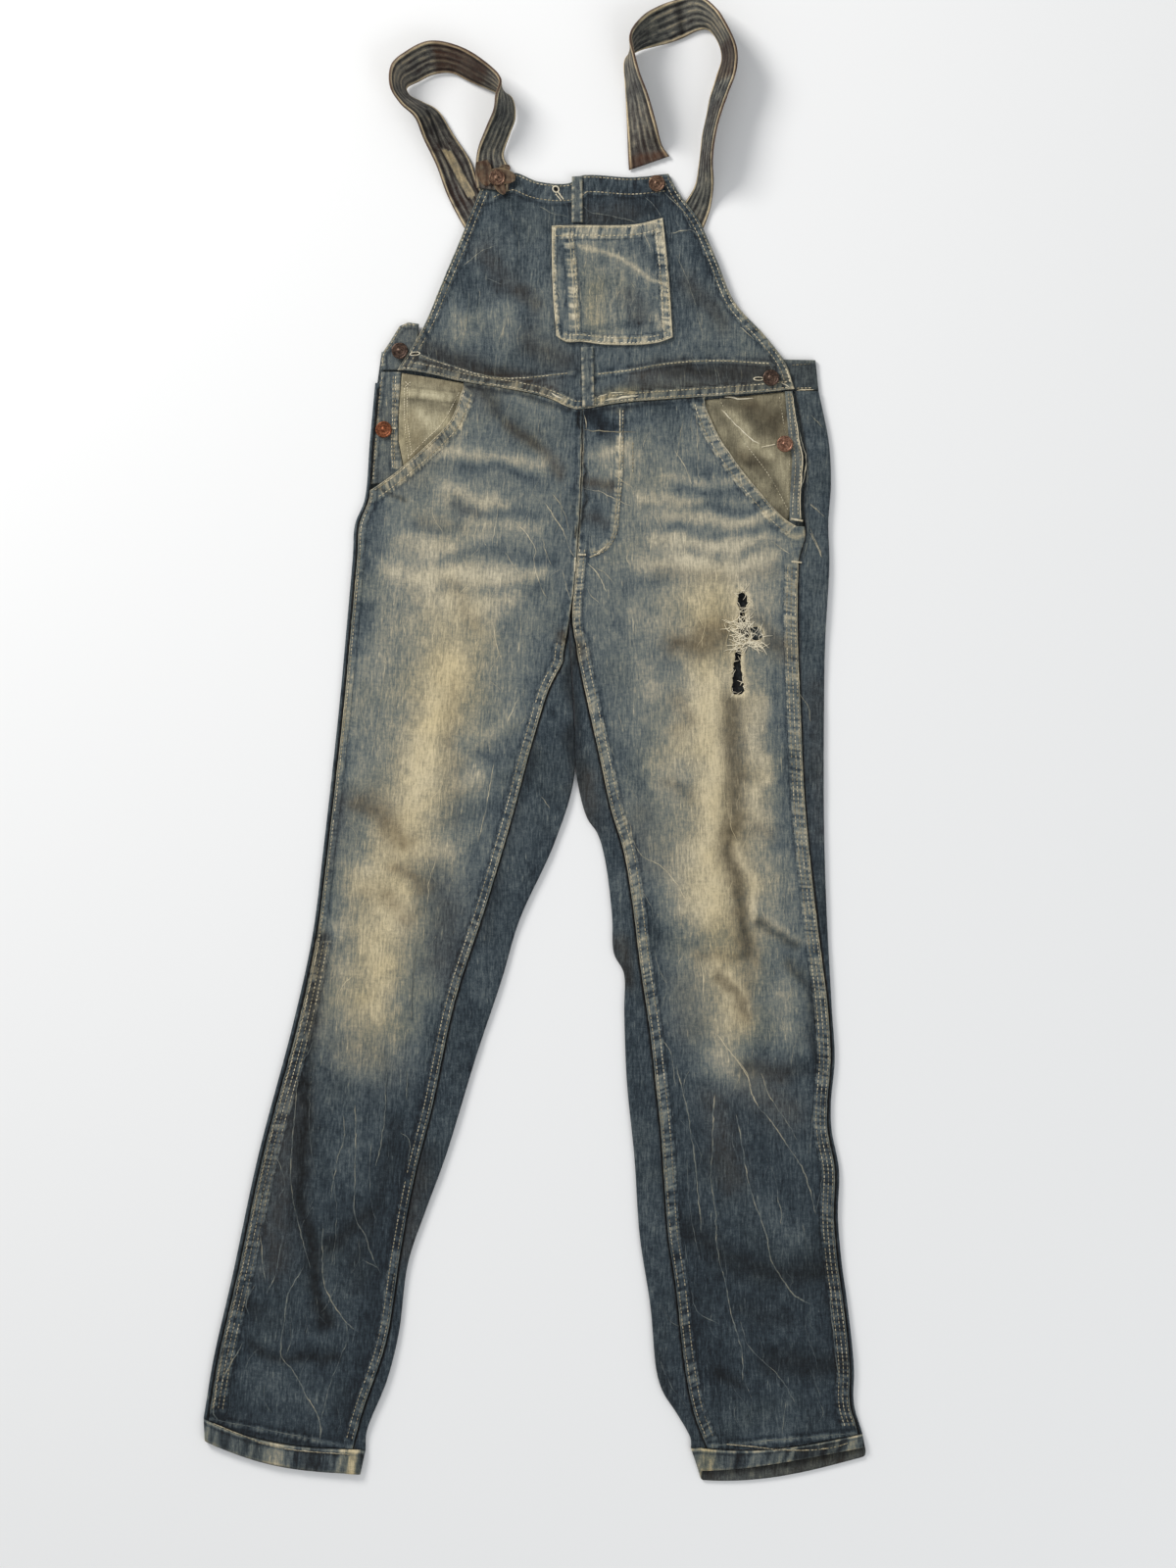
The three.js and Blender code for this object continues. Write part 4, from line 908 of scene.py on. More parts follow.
def wrapped(outer, inner, inset, outer_side, inner_side):
    """One row of a skin that lies on the floor and turns up and over at its ends.

    Each side is (height, how far along the row its lap ends). A side of None ends flat.
    """
    length = np.linalg.norm(inner - outer)
    way = (inner - outer) / length
    s, z = [], []
    ends = ((outer_side, 0, 1, LAP_STEPS[0]), (inner_side, length, -1, LAP_STEPS[1]))
    for side, edge, sign, steps in ends:
        if side is None:
            s.append(np.array([edge]))
            z.append(np.array([inset]))
            continue
        height, lap = side
        radius = height / 2
        lap_s = mix(lap, edge + sign * radius, np.linspace(0, 1, steps + 1))[:-1]
        angle = np.pi * (0.5 + np.linspace(0, 1, FOLD_STEPS + 1))
        fold_s = edge + sign * (radius + (radius - inset) * np.cos(angle))
        fold_z = radius + (radius - inset) * np.sin(angle)
        side_s, side_z = np.append(lap_s, fold_s), np.append(np.full(steps, height - inset), fold_z)
        s.append(side_s if sign > 0 else side_s[::-1])
        z.append(side_z if sign > 0 else side_z[::-1])
    floor = np.linspace(s[0][-1], s[1][0], FLOOR_STEPS + 1)[1:-1]
    s, z = np.concatenate([s[0], floor, s[1]]), np.concatenate([z[0], np.full(len(floor), inset), z[1]])
    return np.column_stack([outer[0] + way[0] * s, outer[1] + way[1] * s, z])


def foot_bow(leg, x, y):
    """How far the foot of a leg sags towards the hem's middle, at any place on the leg."""
    (x0, y0), (x1, y1) = leg["hem_outer"], leg["hem_inner"]
    low, high = min(x0, x1), max(x0, x1)
    across = np.clip((x - low) / (high - low), 0, 1)
    near_foot = smooth((mix(y0, y1, np.clip((x - x0) / (x1 - x0), 0, 1)) + 75 - y) / 60)
    return -leg["sag"] * np.sin(np.pi * across ** 0.85) * near_foot


def back_leg(leg):
    """The back of a leg, which lies on the floor and laps over both edges of the front."""
    side, front = curve(leg["side"], 5), curve(leg["front"], 5)
    outer_skin, inner_skin, flat = [], [], []
    for outer, inner in leg_rows(leg, ROW_GAP):
        at_side, at_front = crossing(side, outer, inner), crossing(front, outer, inner)
        length = np.linalg.norm(inner - outer)
        outer_side = (float(front_under(*outer)) + CLOTH, np.linalg.norm(at_side - outer) - SEAM)
        if inner[1] < CROTCH_TOP:
            inner_side = (float(front_under(*inner)) + CLOTH, np.linalg.norm(at_front - outer) + SEAM)
        else:
            inner_side = (2 * CLOTH + SEAM / 2, length - LIP)
        outer_skin.append(wrapped(outer, inner, 0, outer_side, inner_side))
        inner_skin.append(wrapped(outer, inner, CLOTH, outer_side, inner_side))
    outer_skin, inner_skin = np.array(outer_skin), np.array(inner_skin)
    for skin in (outer_skin, inner_skin):
        skin[..., 1] += foot_bow(leg, skin[..., 0], skin[..., 1])
    x, y, z = outer_skin[..., 0], outer_skin[..., 1], outer_skin[..., 2]
    # what shows on top moves with the creases; the floor side only lifts in shallow troughs
    on_top = smooth((z - 2.2) / 2.0)
    near_seam = np.minimum(near(side, x, y)[0], near(front, x, y)[0])
    lift = on_top * (0.8 * rumple(x, y, 1) - 0.55 * smooth((3 - near_seam) / 2.5) - 0.1)
    troughs = np.clip(0.5 * cloudy(x, y, 46, 21, 2), 0, 0.35)
    under = (1 - on_top) * smooth((near_seam - 14) / 14) * troughs * (z < 0.2)
    outer_skin[..., 2] += lift + under
    inner_skin[..., 2] += lift + under
    wear = back_wear_and_shade(x, y)
    inside_wear_and_shade = back_wear_and_shade(inner_skin[..., 0], inner_skin[..., 1])
    inside_wear_and_shade = (inside_wear_and_shade[0] + 0.1, inside_wear_and_shade[1], inside_wear_and_shade[2], inside_wear_and_shade[3])
    return grid_shell(outer_skin, inner_skin, wear, inside_wear_and_shade, outer_skin[..., :2])


def hem(leg, side_seam_x, seed):
    """The turned hem: a ring that carries on from the leg."""
    last = leg_rows(leg, ROW_GAP)[-1]
    start = [last[0] - (0, SEAM), last[1] - (0, SEAM)]
    end = [np.array(leg["hem_outer"], float), np.array(leg["hem_inner"], float)]
    skins = {0: [], HEM_CLOTH: []}
    rows = np.linspace(0, 1, HEM_ROWS)
    for t in rows:
        outer, inner = mix(start[0], end[0], t), mix(start[1], end[1], t)
        height = float(front_under(*outer)) + HEM_CLOTH
        for inset in skins:
            far = np.linalg.norm(inner - outer) - height
            ring = wrapped(outer, inner, inset, (height, height), (height, far))
            front = mix(ring[-1], ring[0], np.linspace(0, 1, HEM_FRONT_COLUMNS)[1:-1, None])
            ring = np.vstack([ring, front])
            turned = smooth((ring[:, 2] - inset) / (height - 2 * inset))
            bow = np.sin(np.pi * np.clip((ring[:, 0] - outer[0]) / (inner[0] - outer[0]), 0, 1))
            ring[:, 1] += foot_bow(leg, ring[:, 0], ring[:, 1] - 40)
            ring[:, 1] += t * turned * (leg["raised"] + (4 if leg["raised"] else 1.5) * bow)
            skins[inset].append(ring)
    outer_skin, inner_skin = np.array(skins[0]), np.array(skins[HEM_CLOTH])
    x, y, z = (outer_skin[..., k] for k in range(3))
    t = np.broadcast_to(rows[:, None], x.shape)
    rope = noise(x + 5 * t, t * 0.6, 4.6, seed) + 0.5 * noise(x, t * 2, 2.4, seed + 1)
    on_top = smooth((z - 2) / 2)
    rolled = 0.7 * (1 - smooth(t / 0.12)) + 0.7 * smooth((t - 0.9) / 0.1)
    outer_skin[..., 2] += on_top * (0.6 + 0.4 * rope - rolled - 0.35 * np.exp(-(((t - 0.17) / 0.07) ** 2)))
    panels = noise(x + 4 * t, 0 * x, 15, seed + 2)
    seam_end = np.exp(-(((x - side_seam_x) / 9) ** 2))
    top_line = np.exp(-(((t - 0.06) / 0.06) ** 2))
    foot_line = smooth((t - 0.84) / 0.14)
    fade = 0.29 + 0.30 * rope + 0.12 * panels + 0.34 * top_line + 0.18 * foot_line + 0.5 * seam_end
    fade = fade - 0.2 * np.exp(-(((t - 0.22) / 0.06) ** 2))
    dark = 0.35 * smooth((-0.1 - panels) / 0.5) * (1 - top_line) * (1 - seam_end)
    wear = (fade, 0.25 + 0.55 * seam_end + 0.2 * foot_line, 0.1 + 0.1 * foot_line, dark)
    # the inside of the turned hem is painted dark, less so near its last rows: painted shade inside the tube
    inner_wear_and_shade = (0.30 + 0.2 * rope, 0.5 + 0 * x, 0.4 + 0 * x, 0.75 * smooth((0.95 - t) / 0.5))
    return grid_shell(outer_skin, inner_skin, wear, inner_wear_and_shade, outer_skin[..., :2], ring=True)


def waistband():
    """The back waistband, which lies on the floor and comes round the left side."""
    outer_skin, inner_skin = [], []
    rows = np.linspace(0, 1, BAND_ROWS)
    for t in rows:
        outer = np.array([np.interp(t, [0, 1], [a, b]) for a, b in zip(*BAND_LEFT)])
        inner = np.array([np.interp(t, [0, 1], [a, b]) for a, b in zip(*BAND_RIGHT)])
        side = (LAPPED_TOP, outer[0] - BAND_LAP_X)
        outer_skin.append(wrapped(outer, inner, 0, side, None))
        inner_skin.append(wrapped(outer, inner, CLOTH, side, None))
    outer_skin, inner_skin = np.array(outer_skin), np.array(inner_skin)
    x, y, z = (outer_skin[..., k] for k in range(3))
    t = np.broadcast_to(rows[:, None], x.shape)
    rope = noise(x + y, t * 2, 6, 61)
    outer_skin[..., 2] += smooth((z - 2) / 1.5) * (0.25 * rope - 0.4 * smooth((t - 0.93) / 0.07))
    wear = (0.24 + 0.07 * rope + 0.12 * (t < 0.1), 0.15 + 0 * x, 0.12 + 0 * x, 0.2 * (t > 0.92))
    return grid_shell(outer_skin, inner_skin, wear, wear, outer_skin[..., :2])


# ------------------------------ straps
def strap(stations, ridges, wear, gap=2.0, columns=37):
    """A strap whose middle surface runs through the stations, with ridges along it."""
    s = np.array(stations, float)

    def edge(first):
        p = s[:, first:first + 3]
        p = np.vstack([2 * p[0] - p[1], p, 2 * p[-1] - p[-2]])
        out = []
        for a, b, c, d in zip(p, p[1:], p[2:], p[3:]):
            t1 = np.linalg.norm(b - a) ** 0.5
            t2 = t1 + np.linalg.norm(c - b) ** 0.5
            t3 = t2 + np.linalg.norm(d - c) ** 0.5
            t = mix(t1, t2, np.arange(8) / 8)[:, None]
            ab, bc = mix(a, b, t / t1), mix(b, c, (t - t1) / (t2 - t1))
            cd = mix(c, d, (t - t2) / (t3 - t2))
            abc, bcd = mix(ab, bc, t / t2), mix(bc, cd, (t - t1) / (t3 - t1))
            out.append(mix(abc, bcd, (t - t1) / (t2 - t1)))
        return np.vstack([*out, p[-2]])

    left, right = edge(0), edge(3)
    middle = (left + right) / 2
    run = np.append(0, np.cumsum(np.linalg.norm(np.diff(middle, axis=0), axis=1)))
    even = np.linspace(0, run[-1], int(run[-1] / gap) + 1)
    left, right = (
        np.stack([np.interp(even, run, side[:, k]) for k in range(3)], 1) for side in (left, right))
    t = np.linspace(0, 1, columns)
    p = mix(left[:, None], right[:, None], t[None, :, None])
    along, across = np.gradient(p, axis=0), np.gradient(p, axis=1)
    out = np.cross(along, across)
    out /= np.linalg.norm(out, axis=2)[..., None]
    v, u = np.broadcast_to(even[:, None], p.shape[:2]), np.broadcast_to(t[None, :], p.shape[:2])
    rounded = 1.0 - 0.55 * (1 - np.clip(np.minimum(u, 1 - u) / 0.06, 0, 1)) ** 2
    wander = 0.02 * noise(v, 0 * v, 24, 71)
    rib = sum(h * np.exp(-(((u + wander - at) / w) ** 2)) for at, w, h in ridges)
    rope = 0.07 * noise(v + 9 * u, u * 6, 4.4, 72) + 0.16 * noise(v, u * 6, 19, 73)
    half = STRAP_CLOTH / 2 - 0.35
    face = p - out * (half * rounded + rib + rope)[..., None]
    back = p + out * (half * rounded + rib + rope)[..., None]
    face[..., 2], back[..., 2] = np.maximum(face[..., 2], 0.2), np.maximum(back[..., 2], 0.2)
    face_wear_and_shade, reverse_wear_and_shade = wear(v / even[-1], u, v, rib + rope, p, out)
    return grid_shell(face, back, face_wear_and_shade, reverse_wear_and_shade, np.stack([u * STRAP_WIDTH, v], -1))


STRAP_PANEL, STRAP_SLOT = [(-82.5, 552), (-59.4, 511.5)], [(-101.5, 591.5), (-94, 572), (-86.7, 554)]
STRAP_RIDGES = [(0.05, 0.03, 0.6), (0.24, 0.05, 0.55), (0.42, 0.06, 0.5), (0.60, 0.045, 0.6),
                (0.79, 0.06, 0.45), (0.95, 0.03, 0.6)]


def strap_wear_and_shade(rust_at, dark_at, tan_at):
    """Wear and painted shade of a strap: pale piping and ridges, rusty edges and stretches of more rust,
    dark or tan.

    Each list holds (from, to, strength) along the strap. A tan stretch holds the panel and the slot let
    into it.
    """

    def wear(t, u, v, relief, p, out):
        edge = np.minimum(u, 1 - u)
        piping = np.exp(-(((edge - 0.055) / 0.034) ** 2))
        rope = noise(v * 0.5, u * 24, 2.6, 74)
        worn_ridges = 0.62 * (relief - 0.12) * (0.75 + 0.7 * noise(v, u * 12, 26, 77))
        fade = 0.26 + 0.5 * piping + worn_ridges + 0.12 * rope + 0.1 * noise(v, u * 9, 17, 75)
        tan = 0.2 + 0.4 * piping
        dirt = 0.05 + 0.8 * np.exp(-((edge / 0.018) ** 2)) + 0.08 * noise(v, u * 7, 21, 76)
        dark = 0.45 * np.exp(-(((edge - 0.135) / 0.035) ** 2)) + 0.3 * np.exp(-(((u - 0.51) / 0.03) ** 2))
        # where the strap stands steep and faces sideways it is darkened: painted shade
        steep = 1 - np.clip(abs(out[..., 2]), 0, 1)
        dark = dark + 0.25 * smooth((steep - 0.5) / 0.5)
        for spans, kind in ((rust_at, "dirt"), (dark_at, "dark"), (tan_at, "tan")):
            for start, end, strength in spans:
                w = strength * smooth((t - start) / 0.02 + 0.5) * smooth((end - t) / 0.02 + 0.5)
                if kind == "dirt":
                    dirt = dirt + w
                elif kind == "dark":
                    dark = dark + w * (1 - 0.8 * piping)
                else:
                    # a tan panel let into the strap, a stitched bar above it and a slot above that
                    x, y = p[..., 0], p[..., 1]
                    below_bar = y < STRAP_PANEL[0][1]
                    room = smooth((4.4 - near(STRAP_PANEL, x, y)[0]) / 1.0) * below_bar
                    # the slot is painted near black: painted shadow in its opening
                    slot = smooth((1.6 - near(STRAP_SLOT, x, y)[0]) / 0.9)
                    rim = smooth((6.2 - near(STRAP_PANEL, x, y)[0]) / 0.9) * (1 - room) * below_bar
                    fade = mix(fade, 0.70 + 0.10 * noise(x + y, x - y, 5, 79), room)
                    tan, dark = tan + 0.5 * room, dark * (1 - room) + 0.9 * slot + 0.55 * rim
                    dirt = dirt * (1 - 0.7 * room)
        face = (fade, tan, dirt, dark)
        reverse = (fade, tan, dirt + 0.1, dark)
        return face, reverse

    return wear


# ------------------------------ threads: stitches, scratches and frays
def spindles(a, b, radius):
    """Short plump threads between pairs of points."""
    count, sides = len(a), 6
    way = (b - a) / np.linalg.norm(b - a, axis=1)[:, None]
    side = np.cross(way, [0, 0, 1.0])
    side /= np.linalg.norm(side, axis=1)[:, None]
    up = np.cross(side, way)
    rings = []
    for t in (0.22, 0.78):
        centre = mix(a, b, t)
        angle = np.arange(sides) * 2 * np.pi / sides
        round_it = np.cos(angle)[None, :, None] * side[:, None] + np.sin(angle)[None, :, None] * up[:, None]
        rings.append(centre[:, None] + radius * round_it)
    points = np.concatenate([a[:, None], rings[0], rings[1], b[:, None]], 1)
    faces = []
    for k in range(sides):
        n = (k + 1) % sides
        faces += [(0, 1 + n, 1 + k), (1 + k, 1 + n, 7 + n), (1 + k, 7 + n, 7 + k), (13, 7 + k, 7 + n)]
    faces = (np.arange(count)[:, None, None] * 14 + np.array(faces)[None]).reshape(-1, 3)
    return points.reshape(-1, 3), faces, 14


def laid(parts, surface, wear):
    """Many threads on a surface as one mesh. Each is (points whose z is above the cloth, faces, tone).

    A tone says how the thread differs from the wear beneath it: the fade to add, the least tan, the share
    of dirt and dark that is kept, and the dark to add.
    """
    points, faces, start = np.vstack([p[0] for p in parts]), [], 0
    for part in parts:
        faces += [tuple(int(i) + start for i in face) for face in part[1]]
        start += len(part[0])
    add, tan, kept, dark = (
        np.concatenate([np.broadcast_to(p[2][k], len(p[0])) for p in parts]) for k in range(4))
    x, y = points[:, 0], points[:, 1]
    points[:, 2] += surface(x, y)
    w = wear(x, y) if callable(wear) else wear
    w = [np.broadcast_to(v, len(points)).astype(float) for v in w]
    tone = (w[0] + add, np.maximum(w[1], tan), w[2] * kept, w[3] * kept + dark)
    return points, faces, tone, points[:, :2]


def stitch_row(route, pitch=3.6, length=2.9, radius=0.46, gaps=0.05, seed=0, lift=0.12, paler=0.0):
    """A row of stitches along a route."""
    p = curve(route, 0.6)
    run = np.append(0, np.cumsum(np.linalg.norm(np.diff(p, axis=0), axis=1)))
    middles = np.arange(pitch / 2, run[-1] - pitch / 2, pitch)
    if len(middles) == 0:
        return None
    middles = middles[noise(middles, 0 * middles, 1.7, seed + 200) > 2 * gaps - 1.0]

    def at(s):
        return np.stack([np.interp(s, run, p[:, 0]), np.interp(s, run, p[:, 1]), 0 * s + lift], 1)

    points, faces, each = spindles(at(middles - length / 2), at(middles + length / 2), radius)
    s = np.repeat(middles, each)
    worn = paler + 0.2 * noise(s, 0 * s, 9, seed + 201) + 0.14 * noise(s, 0 * s, 2.3, seed + 202)
    return points, faces, (worn, 0, 1, 0)


def scratch(route, width=1.1, height=0.3, paler=0.3, seed=0, tan=0.12, dark=0.0, wander=0.5, taper=7.0):
    """A pale slub line: a low, tapered ridge that follows a route. A dark one is a groove's shadow line."""
    p = curve(route, 1.7)
    if len(p) < 4:
        p = curve(mix(p[0], p[-1], np.linspace(0, 1, 5)[:, None]), 1.0)
    run = np.append(0, np.cumsum(np.linalg.norm(np.diff(p, axis=0), axis=1)))
    along = np.gradient(p, axis=0)
    normal = np.stack([-along[:, 1], along[:, 0]], 1) / np.linalg.norm(along, axis=1)[:, None]
    shift = wander * (noise(run, 0 * run, 6, seed + 300) + 0.6 * noise(run, 0 * run, 2.6, seed + 301))
    p = p + normal * shift[:, None]
    thin = np.sqrt(np.clip(np.minimum(run, run[-1] - run) / taper, 0.02, 1))
    thin = thin * (0.78 + 0.32 * noise(run, 0 * run, 5, seed + 302))
    half, flat = 0.5 * width * thin, 0 * run
    left, right = p + normal * half[:, None], p - normal * half[:, None]
    rows = np.stack([np.column_stack([left, flat - 0.05]), np.column_stack([p, flat + height * thin]),
                     np.column_stack([right, flat - 0.05]), np.column_stack([p, flat - 0.2])], 1)
    count = len(p)
    i, k = np.meshgrid(np.arange(count - 1), np.arange(4), indexing="ij")
    n = (k + 1) % 4
    faces = np.stack([4 * i + k, 4 * i + n, 4 * i + 4 + n, 4 * i + 4 + k], -1).reshape(-1, 4)
    last = 4 * count - 4
    faces = np.vstack([faces, [[3, 2, 1, 0], [last, last + 1, last + 2, last + 3]]])
    spread = np.repeat(run, 4)
    fade = paler * (0.85 + 0.35 * noise(spread, 0 * spread, 9, seed + 303))
    return rows.reshape(-1, 3), faces, (fade, tan, 0.4 if paler > 0 else 1, dark)


def scattered(outline, count, seed, lean=0.0, length=(12, 46), width=(0.6, 1.1), paler=(0.1, 0.26)):
    """Fine faint slub lines strewn over a panel, mostly along the warp."""
    rng = np.random.default_rng(seed)
    low, high = outline.min(0), outline.max(0)
    made = []
    while len(made) < count:
        x, y = rng.uniform(low, high)
        size = rng.uniform(*length)
        angle = math.pi / 2 + lean + rng.normal(0, 0.22)
        way = np.array([math.cos(angle), math.sin(angle)])
        bend = rng.normal(0, 0.12 * size)
        side = np.array([-way[1], way[0]])
        start, end = np.array([x, y]) - way * size / 2, np.array([x, y]) + way * size / 2
        third = mix(start, end, 0.35) + side * bend
        more = mix(start, end, 0.7) + side * bend * rng.uniform(0.2, 1)
        route = np.array([start, third, more, end])
        if inside(outline, route[:, 0], route[:, 1]).all():
            facts = rng.uniform(*width), 0.18, rng.uniform(*paler), int(rng.integers(900)), 0.08
            made.append(scratch(route, *facts))
    return made


def fray(start, way, length, seed, radius=0.28):
    """A loose curved thread."""
    rng = np.random.default_rng(seed)
    count, sides = 9, 5
    t = np.linspace(0, 1, count)
    way = np.array(way, float) / np.linalg.norm(way)
    side = np.array([-way[1], way[0]])
    curl = rng.normal(0, 0.22) * length
    bow = curl * t**2 + 0.04 * length * np.sin(5 * t)
    flat = np.array(start) + np.outer(t * length, way) + np.outer(bow, side)
    p = np.column_stack([flat, 0.3 + 0.8 * np.sin(np.pi * t) * rng.uniform(0.1, 0.8)])
    along = np.gradient(p, axis=0)
    along /= np.linalg.norm(along, axis=1)[:, None]
    a = np.cross(along, [0, 0, 1.0])
    a /= np.linalg.norm(a, axis=1)[:, None]
    b = np.cross(a, along)
    angle = np.arange(sides) * 2 * np.pi / sides
    thin = radius * (1 - 0.7 * t)[:, None, None]
    round_it = np.cos(angle)[None, :, None] * a[:, None] + np.sin(angle)[None, :, None] * b[:, None]
    rings = p[:, None] + thin * round_it
    faces = [(i * sides + k, i * sides + (k + 1) % sides, (i + 1) * sides + (k + 1) % sides,
              (i + 1) * sides + k)
             for i in range(count - 1) for k in range(sides)]
    faces += [tuple(range(sides - 1, -1, -1)), tuple((count - 1) * sides + k for k in range(sides))]
    return rings.reshape(-1, 3), faces, (rng.uniform(-0.2, 0.05), 0, 1, 0)


def bar(start, end, width=2.2, pitch=0.75, seed=0, lift=0.18, fade=0.0, dark=0.0):
    """A bartack: threads packed side by side across a short line."""
    a, b = np.array(start, float), np.array(end, float)
    length = np.linalg.norm(b - a)
    way = (b - a) / length
    side = np.array([-way[1], way[0]])
    s = np.arange(0, length, pitch)
    jitter = 0.2 * noise(s * 7, 0 * s, 1.3, seed + 400)
    middle = a + s[:, None] * way
    p, q = middle - side * (width / 2 + jitter)[:, None], middle + side * (width / 2 + jitter)[:, None]
    lifted = 0 * s + lift
    points, faces, each = spindles(np.column_stack([p, lifted]), np.column_stack([q, lifted]), 0.42)
    worn = fade + np.repeat(0.12 * noise(s * 5, 0 * s, 1.1, seed + 401), each)
    return points, faces, (worn, 0, 1, dark)


# ------------------------------ materials
def linear(*srgb):
    """A linear colour from sRGB values of 0 to 255."""
    values = [c / 255 for c in srgb]
    return (*[c / 12.92 if c <= 0.04045 else ((c + 0.055) / 1.055) ** 2.4 for c in values], 1)


class Shader:
    """A Principled material with short ways to add and join nodes."""

    def __init__(self, name, roughness, metallic=0.0, specular=0.25, sheen=0.0):
        self.material = bpy.data.materials.new(name)
        self.material.use_nodes = True
        self.tree = self.material.node_tree
        self.base = self.tree.nodes["Principled BSDF"]
        self.base.inputs["Roughness"].default_value = roughness
        self.base.inputs["Metallic"].default_value = metallic
        self.base.inputs["Specular IOR Level"].default_value = specular
        self.base.inputs["Sheen Weight"].default_value = sheen

    def put(self, socket, value):
        if isinstance(value, bpy.types.NodeSocket):
            self.tree.links.new(value, socket)
        else:
            socket.default_value = value

    def math(self, operation, *values, clamp=False):
        node = self.tree.nodes.new("ShaderNodeMath")
        node.operation, node.use_clamp = operation, clamp
        for socket, value in zip(node.inputs, values):
            self.put(socket, value)
        return node.outputs[0]

    def plus(self, *values):
        total = values[0]
        for value in values[1:]:
            total = self.math("ADD", total, value)
        return total

    def times(self, a, b):
        return self.math("MULTIPLY", a, b)

    def attribute(self, name):
        node = self.tree.nodes.new("ShaderNodeAttribute")
        node.attribute_name = name
        return node

    def stretched(self, vector, scale):
        node = self.tree.nodes.new("ShaderNodeVectorMath")
        node.operation = "MULTIPLY"
        self.put(node.inputs[0], vector)
        node.inputs[1].default_value = scale
        return node.outputs[0]

    def noise(self, vector, scale, detail=2.0, centred=True):
        node = self.tree.nodes.new("ShaderNodeTexNoise")
        self.put(node.inputs["Vector"], vector)
        node.inputs["Scale"].default_value = scale
        node.inputs["Detail"].default_value = detail
        value = node.outputs["Fac"]
        return self.math("SUBTRACT", value, 0.5) if centred else value

    def span(self, value, low, high):
        node = self.tree.nodes.new("ShaderNodeMapRange")
        for socket, v in zip(node.inputs, (value, low, high)):
            self.put(socket, v)
        return node.outputs[0]

    def ramp(self, value, stops):
        node = self.tree.nodes.new("ShaderNodeValToRGB")
        self.put(node.inputs[0], value)
        elements = node.color_ramp.elements
        while len(elements) < len(stops):
            elements.new(0.5)
        for element, (place, colour) in zip(elements, stops):
            element.position, element.color = place, linear(*colour)
        return node.outputs[0]

    def blend(self, a, b, factor, kind="MIX"):
        node = self.tree.nodes.new("ShaderNodeMix")
        node.data_type, node.blend_type = "RGBA", kind
        self.put(node.inputs["Factor"], factor)
        self.put(node.inputs[6], a)
        self.put(node.inputs[7], b)
        return node.outputs[2]

    def bump(self, height, strength, distance):
        node = self.tree.nodes.new("ShaderNodeBump")
        node.inputs["Strength"].default_value = strength
        node.inputs["Distance"].default_value = distance
        self.put(node.inputs["Height"], height)
        self.tree.links.new(node.outputs[0], self.base.inputs["Normal"])


DENIM_STOPS = [(0, (25, 31, 37)), (0.2, (48, 58, 65)), (0.38, (80, 89, 93)), (0.56, (113, 118, 113)),
               (0.76, (158, 152, 134)), (1, (206, 196, 170))]
FACING_STOPS = [(0, (48, 45, 38)), (0.35, (98, 93, 77)), (0.65, (148, 140, 115)), (1, (202, 193, 162))]
STRAP_STOPS = [(0, (26, 25, 25)), (0.25, (62, 64, 64)), (0.5, (108, 108, 101)), (0.75, (158, 147, 124)),
               (1, (212, 196, 168))]
THREAD_STOPS = [(0, (42, 46, 50)), (0.35, (96, 98, 92)), (0.65, (158, 150, 127)), (1, (226, 217, 194))]
# the second colour is the near black that painted shade and dark wear blend to
TAN_TINT, SHADE_AND_GRIME = (255, 244, 216), (12, 10, 9)


